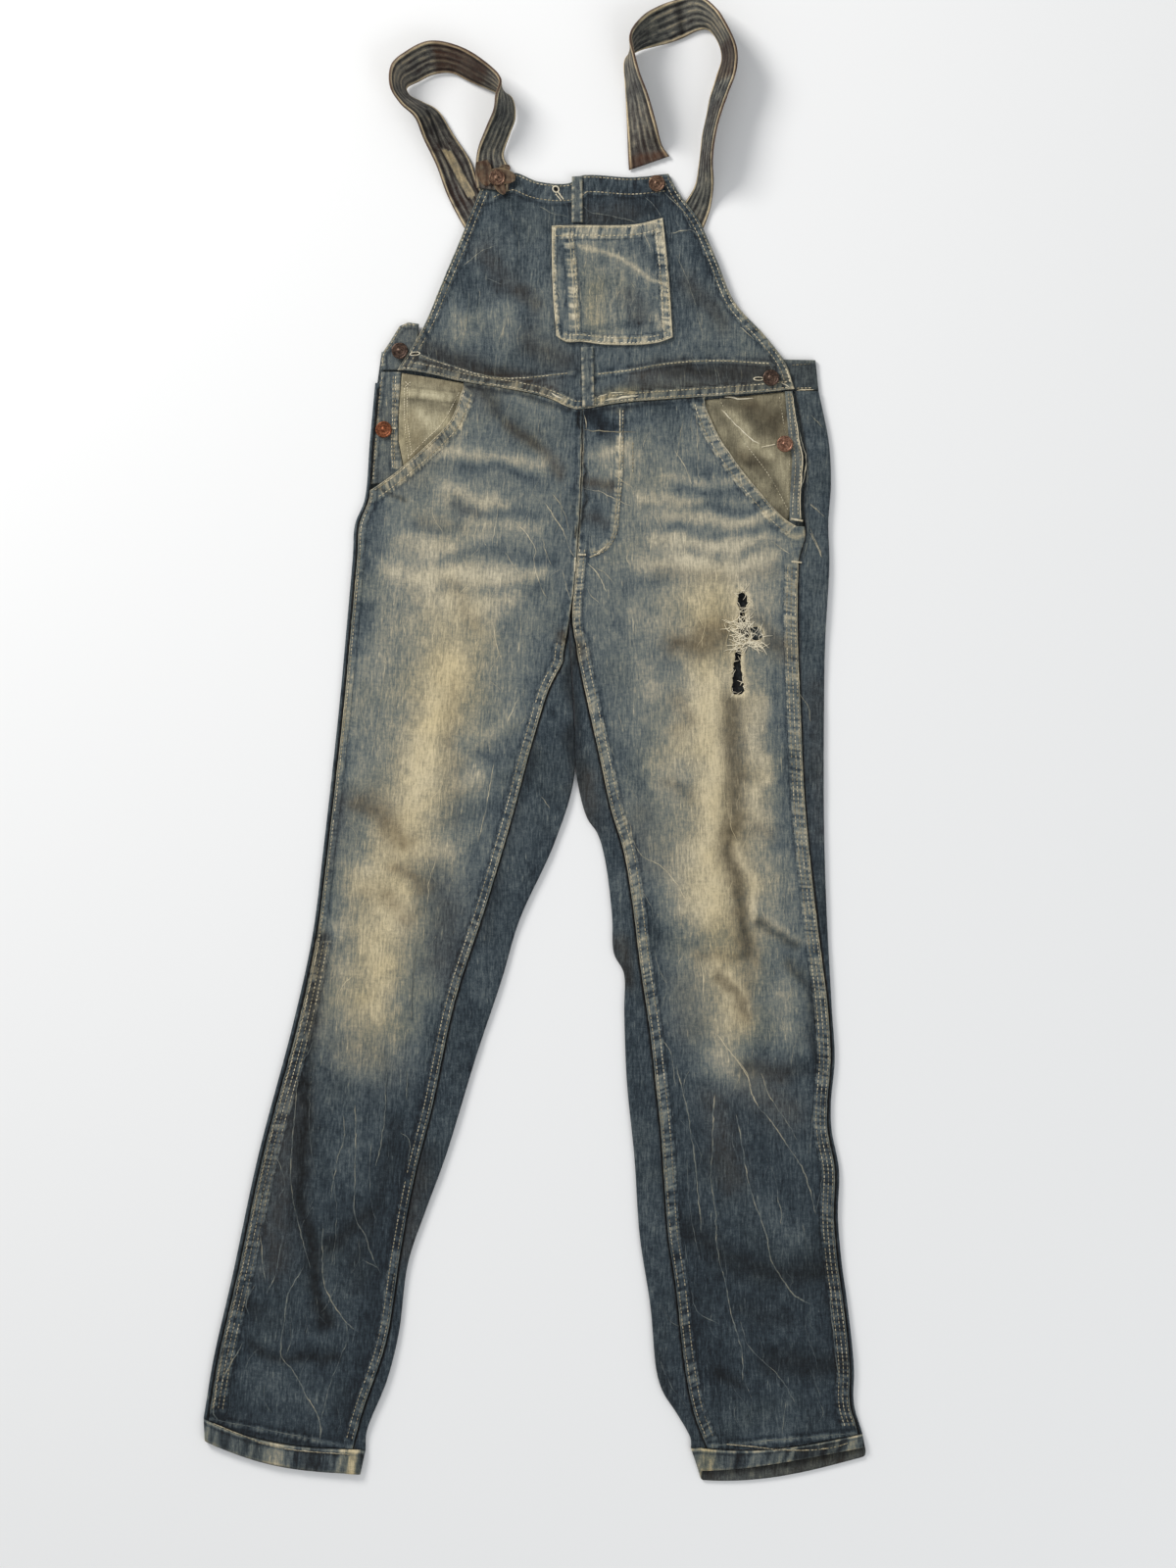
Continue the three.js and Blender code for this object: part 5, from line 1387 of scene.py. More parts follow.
def cloth_material(name, stops, stain_and_shade_colour, grain=1.0, streak=1.0, tint=TAN_TINT, slub=1.0):
    """Worn twill: a fade ramp broken up by slubs and grain, then tan, dirt and dark over it, partly painted
    shade.
    """
    m = Shader(name, 0.88, sheen=0.08, specular=0.18)
    wear = m.attribute("wear")
    cut = m.attribute("cut").outputs["Vector"]
    channels = m.tree.nodes.new("ShaderNodeSeparateColor")
    m.put(channels.inputs[0], wear.outputs["Color"])
    fade, tan, dirt = channels.outputs[:3]
    dark = wear.outputs["Alpha"]
    blotch = m.noise(cut, 60, 3)
    warp = m.noise(m.stretched(cut, (1, 0.16, 1)), 620, 2)
    long_warp = m.noise(m.stretched(cut, (1, 0.05, 1)), 240, 2)
    weft = m.noise(m.stretched(cut, (0.2, 1, 1)), 520, 2)
    fine = m.noise(cut, 1500, 2)
    middle = m.noise(cut, 330, 2)
    slubs = m.span(m.noise(m.stretched(cut, (1, 0.12, 1)), 430, 2, centred=False), 0.63, 0.74)
    flecks = m.span(m.noise(cut, 900, 1, centred=False), 0.68, 0.78)
    level = m.plus(
        fade, m.times(blotch, 0.22), m.times(warp, 0.56 * streak), m.times(long_warp, 0.22 * streak),
        m.times(weft, 0.16 * streak), m.times(fine, 0.62 * grain), m.times(middle, 0.24 * grain),
        m.times(slubs, 0.22 * slub), m.times(flecks, 0.12 * slub))
    colour = m.ramp(level, stops)
    slow_hue = m.times(m.noise(cut, 13, 2), 1.1)
    patchy_tan = m.math("ADD", tan, m.plus(m.times(m.noise(cut, 45, 3), 0.35), slow_hue), clamp=True)
    colour = m.blend(colour, linear(*tint), m.times(patchy_tan, 0.9), "MULTIPLY")
    # dirt browns stains, and also the painted brown shade laid in some crease troughs
    edge = m.math("ADD", dirt, m.times(m.times(m.noise(cut, 110, 3), 1.2), dirt), clamp=True)
    stain_and_shade = m.blend(colour, linear(*stain_and_shade_colour), 0.55)
    colour = m.blend(colour, stain_and_shade, edge)
    # dark is painted shade for the most part, in creases, under edges and in holes, with some dark wear
    shade = m.math("ADD", dark, m.times(m.times(m.noise(cut, 160, 3), 0.9), dark), clamp=True)
    colour = m.blend(colour, linear(*SHADE_AND_GRIME), m.times(shade, 0.96))
    m.put(m.base.inputs["Base Color"], colour)
    height = m.plus(m.times(fine, 0.5), m.times(warp, 0.9), m.times(middle, 0.9), m.times(slubs, 0.5))
    m.bump(height, 0.75, 0.0007)
    return m.material


def metal_material(name, bright, dull, grime):
    m = Shader(name, 0.42, metallic=0.75, specular=0.4)
    where = m.tree.nodes.new("ShaderNodeTexCoord").outputs["Object"]
    worn = m.span(m.noise(where, 420, 3, centred=False), 0.38, 0.62)
    colour = m.blend(linear(*bright), linear(*dull), worn)
    spots = m.span(m.noise(where, 900, 2, centred=False), 0.52, 0.66)
    colour = m.blend(colour, linear(*grime), spots)
    m.put(m.base.inputs["Base Color"], colour)
    m.bump(m.noise(where, 700, 3), 0.35, 0.0004)
    return m.material


BROWN, RUST, THREAD_RUST = (78, 60, 36), (104, 62, 36), (96, 60, 36)
denim = cloth_material("denim_washed", DENIM_STOPS, BROWN)
bib_denim = cloth_material("denim_slate", DENIM_STOPS, BROWN, streak=1.1)
pocket_denim = cloth_material("denim_pocket", DENIM_STOPS, BROWN, grain=1.25, slub=1.6)
facing_cloth = cloth_material("facing_cloth", FACING_STOPS, BROWN, streak=0.7, slub=0.5)
strap_cloth = cloth_material("strap_cloth", STRAP_STOPS, RUST, grain=1.1)
thread = cloth_material("thread", THREAD_STOPS, THREAD_RUST, grain=0.5, streak=0.3, slub=0)

# ------------------------------ seams of each panel
inseam_right = Seam(stretch(RIGHT_LEG["front"], 92, -662), 9, rows=(2.4, 7.4), rope=0.26, edge=0.26,
                    pale=0.02, tan=0.05, seed=101)
inseam_left = Seam(stretch(LEFT_LEG["front"], 92, -660), 11, rows=(2.4, 8.6), rope=0.32, edge=0.26,
                   pale=0.05, tan=0.05, seed=111)
outseam_right = Seam(stretch(RIGHT_LEG["side"], 234, -632), 6, rows=(2.2,), raised=0.35, rope=0.16,
                     edge=0.06, pale=0.0, seed=121)
outseam_low = Seam(stretch(RIGHT_LEG["side"], -184, -632), 14, rows=(3.0, 7.4, 11.6), raised=0.4, rope=0.24,
                   edge=0.06, pale=0.04, seed=123)
outseam_left = Seam(stretch(LEFT_LEG["side"], 165, -646), 12.5, rows=(2.2, 6.2, 10.2), raised=0.45,
                    rope=0.30, edge=0.2, pale=0.06, seed=131)
rise = Seam(stretch(LEFT_LEG["front"], 309, 180), 1.5, rope=0.2, raised=0.3, edge=0.05, seed=141)
rise_low = Seam(stretch(LEFT_LEG["front"], 182, 92), 8, rows=(2.0, 6.4), rope=0.36, raised=0.6, edge=0.24,
                pale=0.08, seed=142)
FLY = [(80.4, 312.3), (79.5, 250.2), (76.4, 216), (73.6, 193), (64.4, 179.4), (51.5, 175.3)]
fly_line = Seam(FLY, 3.4, rows=(0.4, 3.0), rope=0.2, raised=0.4, edge=0.06, pale=0.0, seed=144)
rise_right = Seam(stretch(RIGHT_LEG["front"], 309, 92), 3, rope=0.16, raised=0.2, seed=143)
slant_right = Seam(RIGHT_POCKET[:-1], 12, rows=(2.2, 9.4), rope=0.34, raised=0.55, edge=0.36, pale=0.06,
                   tan=0.4, seed=151)
slant_left = Seam(LEFT_POCKET, 12, rows=(2.2, 9.4), rope=0.34, raised=0.55, edge=0.36, pale=0.06, tan=0.4,
                  seed=161)
waist_right = Seam(RIGHT_WAIST, 2, rope=0.18, raised=0.15, edge=-0.1, seed=171)
waist_left = Seam(LEFT_WAIST, 2, rope=0.18, raised=0.15, edge=-0.1, seed=173)
hem_top_right = Seam([(-310, -636), (-158, -666)], 2.5, rope=0.2, raised=-0.25, seed=175)
hem_top_left = Seam([(308, -650), (147, -664)], 2.5, rope=0.2, raised=-0.25, seed=177)
right_seams = [inseam_right, outseam_right, outseam_low, rise_right, slant_right, waist_right, hem_top_right]
left_seams = [inseam_left, outseam_left, rise, rise_low, fly_line, slant_left, waist_left, hem_top_left]

bib_top_hem = Seam(BIB_TOP, 18.5, rows=(2.2, 16.2), rope=0.15, raised=0.45, seed=181)
bib_left_edge = Seam(BIB_LEFT, 8.5, rows=(2.2, 6.8), rope=0.24, raised=0.45, edge=0.3, pale=0.03, seed=183)
bib_right_edge = Seam(BIB_RIGHT, 8.5, rows=(2.2, 6.8), rope=0.2, raised=0.45, edge=0.1, pale=-0.03, seed=185)
bib_waist_edge = Seam(BIB_WAIST, 9.0, rows=(2.0, 7.4), rope=0.34, raised=0.55, edge=0.3, pale=0.07, tan=0.4,
                      seed=187)
FACING_FOOT_LEFT = [(57, 342), (89, 346), (124, 352), (167, 355), (224, 352)]
FACING_FOOT_RIGHT = [(-108, 360), (-69, 347), (-37, 339), (-8, 339), (38, 344)]
bib_facing_left = Seam(FACING_FOOT_LEFT, 1.6, rows=(0.2,), rope=0.12, raised=0.25, edge=0.06, seed=189)
bib_facing_right = Seam(FACING_FOOT_RIGHT, 1.6, rows=(0.2,), rope=0.12, raised=0.25, edge=0.06, seed=191)
bib_seams = [bib_top_hem, bib_left_edge, bib_right_edge, bib_waist_edge, bib_facing_left, bib_facing_right]

pocket_top_hem = Seam(POCKET_TOP, 12, rows=(2.0, 9.6), rope=0.32, raised=0.5, edge=0.42, pale=0.1, seed=201)
pocket_side_edge = Seam(POCKET_SIDE, 9, rows=(2.0, 7.6), rope=0.34, raised=0.45, edge=0.46, pale=0.08,
                        seed=203)
pocket_foot_edge = Seam(POCKET_FOOT, 8, rows=(2.0, 6.4), rope=0.36, raised=0.45, edge=0.46, pale=0.08,
                        seed=205)
pocket_pen_edge = Seam(POCKET_PEN, 3.5, rows=(1.8,), rope=0.3, raised=0.4, edge=0.46, pale=0.08, seed=207)
PEN_BAND = [(31.7, 479), (36, 430), (38.9, 377)]
pen_band = Seam(PEN_BAND, 4.6, rows=(3.4,), rope=0.30, raised=0.6, edge=0.06, pale=0.08, seed=209)
pocket_seams = [pocket_top_hem, pocket_side_edge, pocket_foot_edge, pocket_pen_edge, pen_band]


def make_sheet(name, data, material, nodes):
    """A sheet of cloth in place of its solids, which it hides.
    """
    made = mesh_object(name, *data, material)
    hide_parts(*nodes)
    return made


def front_outline(leg, waist, pocket, left):
    """The edge of a leg's front: its side, foot, front seam, waist and slant pocket."""
    side, front = leg["side"], leg["front"]
    pocket_foot = pocket[-1][1] if left else pocket[0][1]
    side_run = stretch(side, pocket_foot - 0.1, side[-1][1])
    rows = leg_rows(leg, 4)
    foot = [crossing(curve(side, 5), *rows[-1]), crossing(curve(front, 5), *rows[-1])]
    front_top = waist[0][1] if left else waist[-1][1]
    front_run = stretch(front, front_top, foot[1][1])[::-1]
    side_run = [*side_run[:-1], tuple(foot[0])]
    across = [tuple(mix(foot[0], foot[1], t)) for t in np.linspace(0, 1, 9)]
    across = [(x, y + float(foot_bow(leg, x, y))) for x, y in across]
    side_run[-1], front_run[0] = across[0], across[-1]
    if left:
        return outline_of(side_run, across, front_run, waist, pocket, step=2.2)
    return outline_of(side_run, across, front_run, waist[::-1], pocket[::-1], step=2.2)


def turned(outline):
    """The outline run anticlockwise."""
    x, y = outline.T
    area = (x * np.roll(y, -1) - np.roll(x, -1) * y).sum()
    return outline if area > 0 else outline[::-1]


right_outline = turned(front_outline(RIGHT_LEG, RIGHT_WAIST, RIGHT_POCKET, False))
left_outline = turned(front_outline(LEFT_LEG, LEFT_WAIST, LEFT_POCKET, True))
rip_holes = [turned(ragged(p, 1.1, 300 + i)) for i, p in enumerate(RIP)]
bib_outline = turned(outline_of(BIB_TOP, BIB_LEFT, BIB_WAIST, BIB_RIGHT, step=1.8))
pocket_outline = turned(outline_of(POCKET_TOP, POCKET_SIDE, POCKET_FOOT, POCKET_PEN, step=1.5))


def soft_outline(points, step=1.5):
    """A small piece's outline, with straight runs between its corners."""
    return turned(outline_of(*[[a, b] for a, b in zip(points, points[1:] + points[:1])], step=step))


def front_left_wear_and_shade(x, y):
    """The left front's wear and painted shade, paler and cleaner round the rip."""
    fade, tan, dirt, dark = front_wear_and_shade(x, y)
    near_rip = np.min([near(np.vstack([hole, hole[:1]]), x, y)[0] for hole in rip_holes], 0)
    frayed = np.exp(-((near_rip / 3.4) ** 2))
    return fade + 0.30 * frayed, np.maximum(tan, 0.35 * frayed), dirt * (1 - frayed), dark * (1 - frayed)


make_sheet("front_leg_right_cloth",
           panel(right_outline, leg_level, front_wear_and_shade, right_seams, turn=0.06, step=LEG_STEP),
           denim, ["front_leg_right"])
make_sheet("front_leg_left_cloth",
           panel(left_outline, leg_level, front_left_wear_and_shade, left_seams, rip_holes, turn=-0.03, step=LEG_STEP),
           denim, ["front_leg_left"])
for side_name, leg, area in (("right", RIGHT_LEG, 0.211), ("left", LEFT_LEG, 0.2365)):
    make_sheet(f"back_leg_{side_name}_cloth", back_leg(leg), denim, [f"back_leg_{side_name}"])
make_sheet("hem_right_cloth", hem(RIGHT_LEG, -171, 401), denim, ["hem_right"])
make_sheet("hem_left_cloth", hem(LEFT_LEG, 163, 411), denim, ["hem_left"])
make_sheet("back_waistband_cloth", waistband(), denim, ["back_waistband"])
make_sheet("back_yoke_cloth", panel(soft_outline(YOKE), lambda x, y: CLOTH + 0 * x, plain_wear(0.25),
                                    step=4),
           denim, ["back_yoke"])
FACING_CREASES = [([(184, 308), (200, 290), (214, 276)], 0.35, 4), ([(206, 262), (222, 258)], -0.4, 4)]
FACING_RIGHT_BAND = Seam([(-124, 326), (-96, 323), (-66, 320)], 4.0, rows=(1.0,), rope=0.14, raised=0.25,
                         edge=0.08, seed=221)
FACING_RIGHT_WEAR_AND_SHADE = [
    ("dirt", 0.5, 6, [(-120, 340), (-90, 336), (-64, 330)]),
    ("dark", 0.35, 4, [(-122, 318), (-95, 314), (-72, 312)]),
    ("fade", 0.22, 9, [(-112, 300), (-95, 296), (-84, 300)]),
    ("dirt", 0.5, 7, [(-116, 300), (-112, 276), (-116, 258)]),
    ("fade", 0.08, 6, [(-100, 326), (-80, 324)]),
    # a painted shadow line along the front's slanted edge
    ("dark", 0.4, 3, [(-70, 322), (-84, 296), (-104, 277), (-120, 262)])]
FACING_LEFT_WEAR_AND_SHADE = [
    ("dark", 0.42, 10, [(182, 318), (210, 308), (234, 304)]),
    ("dirt", 0.6, 16, [(200, 318), (222, 300), (236, 296)]),
    ("dark", 0.5, 8, [(200, 300), (208, 292), (232, 296)]),
    ("fade", 0.20, 7, [(180, 306), (194, 292), (206, 280), (224, 272)]),
    # the dark stroke here paints shade in the facing's crease
    ("dark", 0.55, 6, [(204, 262), (214, 264), (222, 258)]), ("dirt", 0.5, 9, [(200, 268), (216, 262)]),
    ("fade", 0.16, 10, [(226, 258), (236, 246), (238, 226)]),
    ("dark", 0.6, 6, [(228, 214), (238, 206), (240, 200)]),
    ("dark", 0.45, 5, [(212, 256), (226, 238), (238, 218)]),
    ("dark", 0.35, 4, [(170, 308), (190, 274), (212, 244)])]


def lapped_level(x, y):
    """Height of cloth that lies under the front at the hips."""
    return LAPPED_TOP + 0.25 * rumple(x, y, 8) - 0.1


def facing_left_level(x, y):
    return lapped_level(x, y) + folds(x, y, FACING_CREASES, 1)


def placket_left_level(x, y):
    return LAPPED_TOP + SEAM + CLOTH + 0.2 * rumple(x, y, 9) - 0.1


def placket_level(x, y):
    return bib_under(y) + 2 * CLOTH + SEAM + 0.5 * rumple(x, y, 2) + 0.4


def facing_right_wear_and_shade(x, y):
    return painted(FACING_RIGHT_WEAR_AND_SHADE, x, y, 0.60 + 0.05 * noise(x, y, 7, 50))


def facing_left_wear_and_shade(x, y):
    return painted(FACING_LEFT_WEAR_AND_SHADE, x, y, 0.48 + 0.06 * noise(x, y, 7, 52))


make_sheet("pocket_facing_right_cloth",
           panel(soft_outline(RIGHT_FACING), lapped_level, facing_right_wear_and_shade, [FACING_RIGHT_BAND], step=2),
           facing_cloth, ["pocket_facing_right"])
make_sheet("pocket_facing_left_cloth",
           panel(soft_outline(LEFT_FACING), facing_left_level, facing_left_wear_and_shade, step=2),
           facing_cloth, ["pocket_facing_left"])
side_right_seam = Seam([(-127.5, 344), (-128, 305), (-129, 280), (-128, 252)], 5, rows=(2.2, 4.4), seed=211)
side_right_edge = Seam([(-144, 343), (-145.5, 334), (-150.3, 280), (-153.3, 241)], 4, rows=(2.2,), seed=213)
make_sheet("side_placket_right_cloth",
           panel(soft_outline(RIGHT_SIDE_PLACKET), lapped_level, plain_wear(0.40, 0.1, 0.3, 54),
                 [side_right_seam, side_right_edge], step=1.6),
           denim, ["side_placket_right"])
make_sheet("side_placket_left_cloth",
           panel(soft_outline(LEFT_SIDE_PLACKET), placket_left_level, plain_wear(0.42, 0.15, 0.25, 56),
                 step=1.5),
           denim, ["side_placket_left"])
tab_edge = Seam([(-108, 390), (-118, 391.4), (-126, 388), (-135, 373.5), (-143, 361.6), (-143.5, 347)], 4,
                rows=(2.0,), seed=215)
make_sheet("waist_tab_right_cloth",
           panel(soft_outline(WAIST_TAB), lapped_level, plain_wear(0.40, 0.1, 0.3, 58), [tab_edge],
                 step=1.6),
           denim, ["waist_tab_right"])
make_sheet("bib_cloth", panel(bib_outline, bib_level, bib_wear_and_shade, bib_seams, step=2.4),
           bib_denim, ["bib"])
make_sheet("bib_pocket_cloth", panel(pocket_outline, pocket_level, pocket_wear, pocket_seams, step=1.6,
                                     fine=1.2),
           pocket_denim, ["bib_pocket"])
placket_wear = plain_wear(0.48, 0.1, 0.15, 60)
for end, points, size in (("top", PLACKET_TOP, (0.0112, 0.045)), ("low", PLACKET_LOW, (0.0125, 0.056))):
    mesh = panel(soft_outline(points, 1.2), placket_level, placket_wear,
                 [Seam([points[0], points[1]], 2.2, rope=0.3, raised=0.3, seed=217),
                  Seam([points[2], points[3]], 2.2, rope=0.3, raised=0.3, seed=219)], step=1.2, fine=1.0)
    make_sheet(f"bib_placket_{end}_cloth", mesh, bib_denim, [f"bib_placket_{end}"])
right_wear_and_shade = strap_wear_and_shade([(0.0, 0.04, 0.3), (0.29, 0.42, 0.6)], [(0.29, 0.42, 0.45), (0.60, 0.68, 0.5)],
                        [(0.7, 1.0, 0.9)])
left_wear_and_shade = strap_wear_and_shade([(0.0, 0.02, 0.9), (0.52, 0.60, 0.5)],
                       [(0.0, 0.02, 0.3), (0.375, 0.39, 0.75), (0.52, 0.60, 0.55)], [])
make_sheet("strap_right_cloth", strap(RIGHT_STRAP, STRAP_RIDGES, right_wear_and_shade), strap_cloth, ["strap_right"])
make_sheet("strap_left_cloth", strap(LEFT_STRAP, STRAP_RIDGES, left_wear_and_shade), strap_cloth, ["strap_left"])

# ------------------------------ threads sewn on each panel
attached = {}


def over(level, seams):
    """The face of a panel with its seams raised on it."""
    return lambda x, y: level(x, y) + seams_at(seams, x, y)[0]


leg_right_face, leg_left_face = over(leg_level, right_seams), over(leg_level, left_seams)
bib_face, pocket_face = over(bib_level, bib_seams), over(pocket_level, pocket_seams)


def beside(seam, distance, outline):
    """The line at a distance from a seam's route, on the side where the cloth is."""
    lines = [offset(seam.route, way * distance) for way in (1, -1)]
    kept = [line[inside(outline, line[:, 0], line[:, 1])] for line in lines]
    return max(kept, key=len)


def sewn_rows(seams, outline):
    """Stitches along every row of every seam."""
    made = []
    for seam in seams:
        for row in seam.rows:
            line = beside(seam, row, outline)
            if len(line) > 4:
                made.append(stitch_row(line[1:-1], seed=seam.seed + int(row * 7)))
    return [m for m in made if m is not None]


def seam_lines(seams, outline, pale=0.22, dark=0.4):
    """The pale worn fold at a seam's edge, and the shadow where its band ends."""
    made = []
    for seam in seams:
        edge, end = beside(seam, 0.7, outline), beside(seam, seam.width + 0.9, outline)
        if len(edge) > 6 and seam.edge > 0.04:
            made.append(scratch(edge[::2], 1.3, 0.22, pale + 0.4 * seam.edge, seam.seed, 0.3, wander=0.25,
                                taper=2))
        if len(end) > 6 and seam.width > 3:
            made.append(scratch(end[::2], 1.4, 0.08, -0.1, seam.seed + 5, 0.0, dark, wander=0.3, taper=3))
    return made


def attach(name, parts, surface, wear, material, sheet_name):
    """One object of many threads, lying on a sheet of cloth."""
    made = mesh_object(name, *laid(parts, surface, wear), material)
    work = bmesh.new()
    work.from_mesh(made.data)
    bmesh.ops.recalc_face_normals(work, faces=work.faces)
    work.to_mesh(made.data)
    work.free()
    attached.setdefault(sheet_name, []).append(made)


def lap_face(x, y):
    """Top of the back's cloth where it laps round the edge of a leg."""
    return front_under(x, y) + CLOTH + 0.4


def hem_face(x, y):
    return front_under(x, y) + HEM_CLOTH + 0.5


def leg_thread(x, y):
    """Tone of the legs' thread, which is greyer below the knee."""
    low = smooth((-260 - y) / 160)
    return 0.74 - 0.14 * low, 0.35 - 0.2 * low, 0.2 + 0 * x, 0.03 + 0 * x


RIGHT_SCRATCHES = [
    ([(-220, -299), (-225, -362), (-228, -401), (-226, -430), (-221, -454), (-213, -483), (-210, -496)], 1.0,
     0.26),
    ([(-179, -351), (-178, -373), (-183, -388), (-191, -431)], 1.0, 0.24),
    ([(-168, -342), (-167, -373), (-168, -417), (-167, -450), (-158, -465), (-151, -486), (-144, -500)], 1.1,
     0.28),
    ([(-198, -457), (-198, -493), (-196, -513), (-179, -542), (-164, -556)], 1.1, 0.30),
    ([(-216, -494), (-230, -519), (-234, -545), (-236, -578), (-225, -592), (-214, -614), (-201, -638),
      (-201, -657)], 1.2, 0.30),
    ([(-177, -545), (-175, -559), (-190, -601), (-200, -638)], 0.9, 0.18),
    ([(-256, -463), (-254, -493), (-252, -509)], 1.0, 0.24),
    ([(-237, -473), (-242, -500), (-250, -519)], 1.0, 0.24),
    ([(-262, -511), (-270, -529), (-267, -540)], 1.0, 0.24),
    ([(-273, -565), (-294, -605), (-300, -631), (-294, -641)], 1.1, 0.26),
    ([(-161, -487), (-145, -496)], 0.9, 0.2),
    ([(-259, -657), (-259, -677)], 0.9, 0.2),
    ([(-18, 205), (-5, 190), (2, 178), (0, 169), (6, 144), (13, 132)], 1.0, 0.26),
    ([(9, 223), (26, 198), (34, 178), (39, 169)], 1.1, 0.28), ([(17, 231), (28, 214), (33, 196)], 0.9, 0.22),
    ([(9, 182), (16, 163)], 0.9, 0.2), ([(-38, 108), (-36, 91), (-28, 71)], 1.0, 0.24),
    ([(-28, 176), (-13, 155)], 0.9, 0.2),
    ([(26, 159), (34, 131)], 1.0, 0.24), ([(-69, 324), (-63, 305)], 0.9, 0.2),
    ([(-37, -19), (-40, -36), (-44, -58), (-52, -94)], 1.0, 0.22),
    ([(-15, 39), (-26, 15)], 1.0, 0.22), ([(-92, -113), (-98, -132), (-100, -154)], 0.9, 0.2),
    ([(7, -53), (15, -65)], 0.9, 0.2),
    ([(-209, -313), (-211, -363), (-205, -409)], 0.8, 0.15),
    ([(-189, -400), (-185, -446), (-189, -492)], 0.8, 0.15),
    ([(-152, -373), (-154, -419), (-148, -455)], 0.8, 0.14),
    ([(-138, 87), (-144, 32), (-152, -14)], 0.8, 0.12)]
LEFT_SCRATCHES = [
    ([(189, -299), (200, -315), (207, -339), (225, -361), (238, -381), (251, -401), (259, -424),
      (264, -444)], 1.2, 0.32),
    ([(213, -312), (220, -332), (233, -352), (248, -377)], 1.0, 0.24),
    ([(133, -305), (143, -345), (149, -381), (154, -427), (157, -463)], 1.2, 0.30),
    ([(169, -332), (167, -384), (166, -414), (170, -443), (172, -477), (180, -513), (185, -539), (195, -575),
      (196, -601)], 1.2, 0.30),
    ([(189, -351), (195, -378), (201, -414), (210, -443), (218, -466), (222, -486), (233, -506), (246, -522),
      (261, -529)], 1.2, 0.30),
    ([(193, -545), (201, -568), (218, -585), (231, -598), (241, -614)], 1.0, 0.26),
    ([(147, -516), (153, -536), (174, -548)], 1.0, 0.24),
    ([(121, -532), (128, -545), (136, -549)], 1.0, 0.24),
    ([(118, -582), (128, -604), (144, -627)], 1.0, 0.24),
    ([(279, -512), (278, -529), (282, -568), (287, -605), (289, -621)], 1.1, 0.26),
    ([(228, -427), (232, -443), (231, -454)], 0.9, 0.22),
    ([(236, -621), (233, -651)], 0.9, 0.22),
    ([(89, -75), (93, -94), (101, -108), (121, -120), (135, -137), (143, -151)], 1.0, 0.24),
    ([(101, -142), (109, -155), (112, -167)], 0.9, 0.2),
    ([(113, -197), (117, -213), (125, -229)], 1.0, 0.26),
    ([(119, -279), (128, -293), (133, -326)], 1.1, 0.28),
    ([(172, -276), (186, -295), (198, -310), (204, -326)], 1.1, 0.26),
    ([(155, -199), (159, -225), (159, -249)], 0.9, 0.18), ([(229, 24), (241, 20)], 0.9, 0.2),
    ([(249, 43), (258, 29), (259, 17)], 0.9, 0.22),
    ([(132, 272), (140, 258), (148, 239)], 1.0, 0.26), ([(75, 249), (92, 236)], 1.0, 0.28),
    ([(45, 236), (63, 232), (75, 226), (92, 218)], 1.0, 0.28),
    ([(50, 166), (60, 155), (68, 138)], 1.2, 0.34), ([(58, 161), (66, 157), (74, 148)], 1.0, 0.3),
    ([(50, 143), (53, 136), (62, 127)], 1.0, 0.3),
    ([(92, 116), (94, 99)], 0.9, 0.2), ([(259, 221), (273, 209)], 0.9, 0.24),
    ([(259, 194), (270, 171)], 0.9, 0.24),
    ([(222, 186), (240, 174)], 0.9, 0.22), ([(140, 301), (133, 264)], 0.8, 0.16),
    ([(152, 305), (154, 258)], 0.8, 0.16),
    ([(163, 299), (173, 256)], 0.8, 0.16), ([(248, 290), (255, 262), (251, 235)], 0.9, 0.22),
    ([(143, -391), (146, -437), (154, -483)], 0.8, 0.16),
    ([(267, -363), (270, -409), (264, -446)], 0.8, 0.16)]
BACK_SCRATCHES = [
    ([(-119, -309), (-119, -338)], 0.9, 0.22), ([(-125, -368), (-117, -375), (-118, -396)], 0.9, 0.22),
    ([(-109, -173), (-113, -214), (-115, -262)], 1.0, 0.2),
    ([(-138, -308), (-141, -363), (-148, -400)], 0.9, 0.18)]
BIB_SCRATCHES = [
    ([(5, 500), (16, 494), (33, 490)], 1.0, 0.28),
    ([(44, 502), (54, 494), (68, 492), (81, 489), (96, 485)], 1.0, 0.28),
    ([(102, 510), (113, 500), (120, 489)], 1.0, 0.26), ([(122, 513), (139, 496), (148, 478)], 1.0, 0.28),
    ([(126, 474), (148, 477), (155, 470)], 1.0, 0.28), ([(-67, 443), (-50, 457), (-34, 464)], 0.9, 0.22),
    ([(193, 387), (207, 374)], 1.0, 0.28), ([(-47, 433), (-30, 427)], 0.9, 0.22),
    ([(-23, 497), (-14, 465), (-17, 428)], 0.8, 0.14),
    ([(133, 455), (148, 419), (157, 382)], 0.8, 0.16), ([(-60, 419), (-63, 391), (-69, 367)], 0.8, 0.14)]


def slubs(routes, seed, wider=1.25, more=0.1):
    """Slub lines from (route, width, fade)."""
    return [scratch(r, wider * w, 0.3, p + more, seed + i) for i, (r, w, p) in enumerate(routes)]


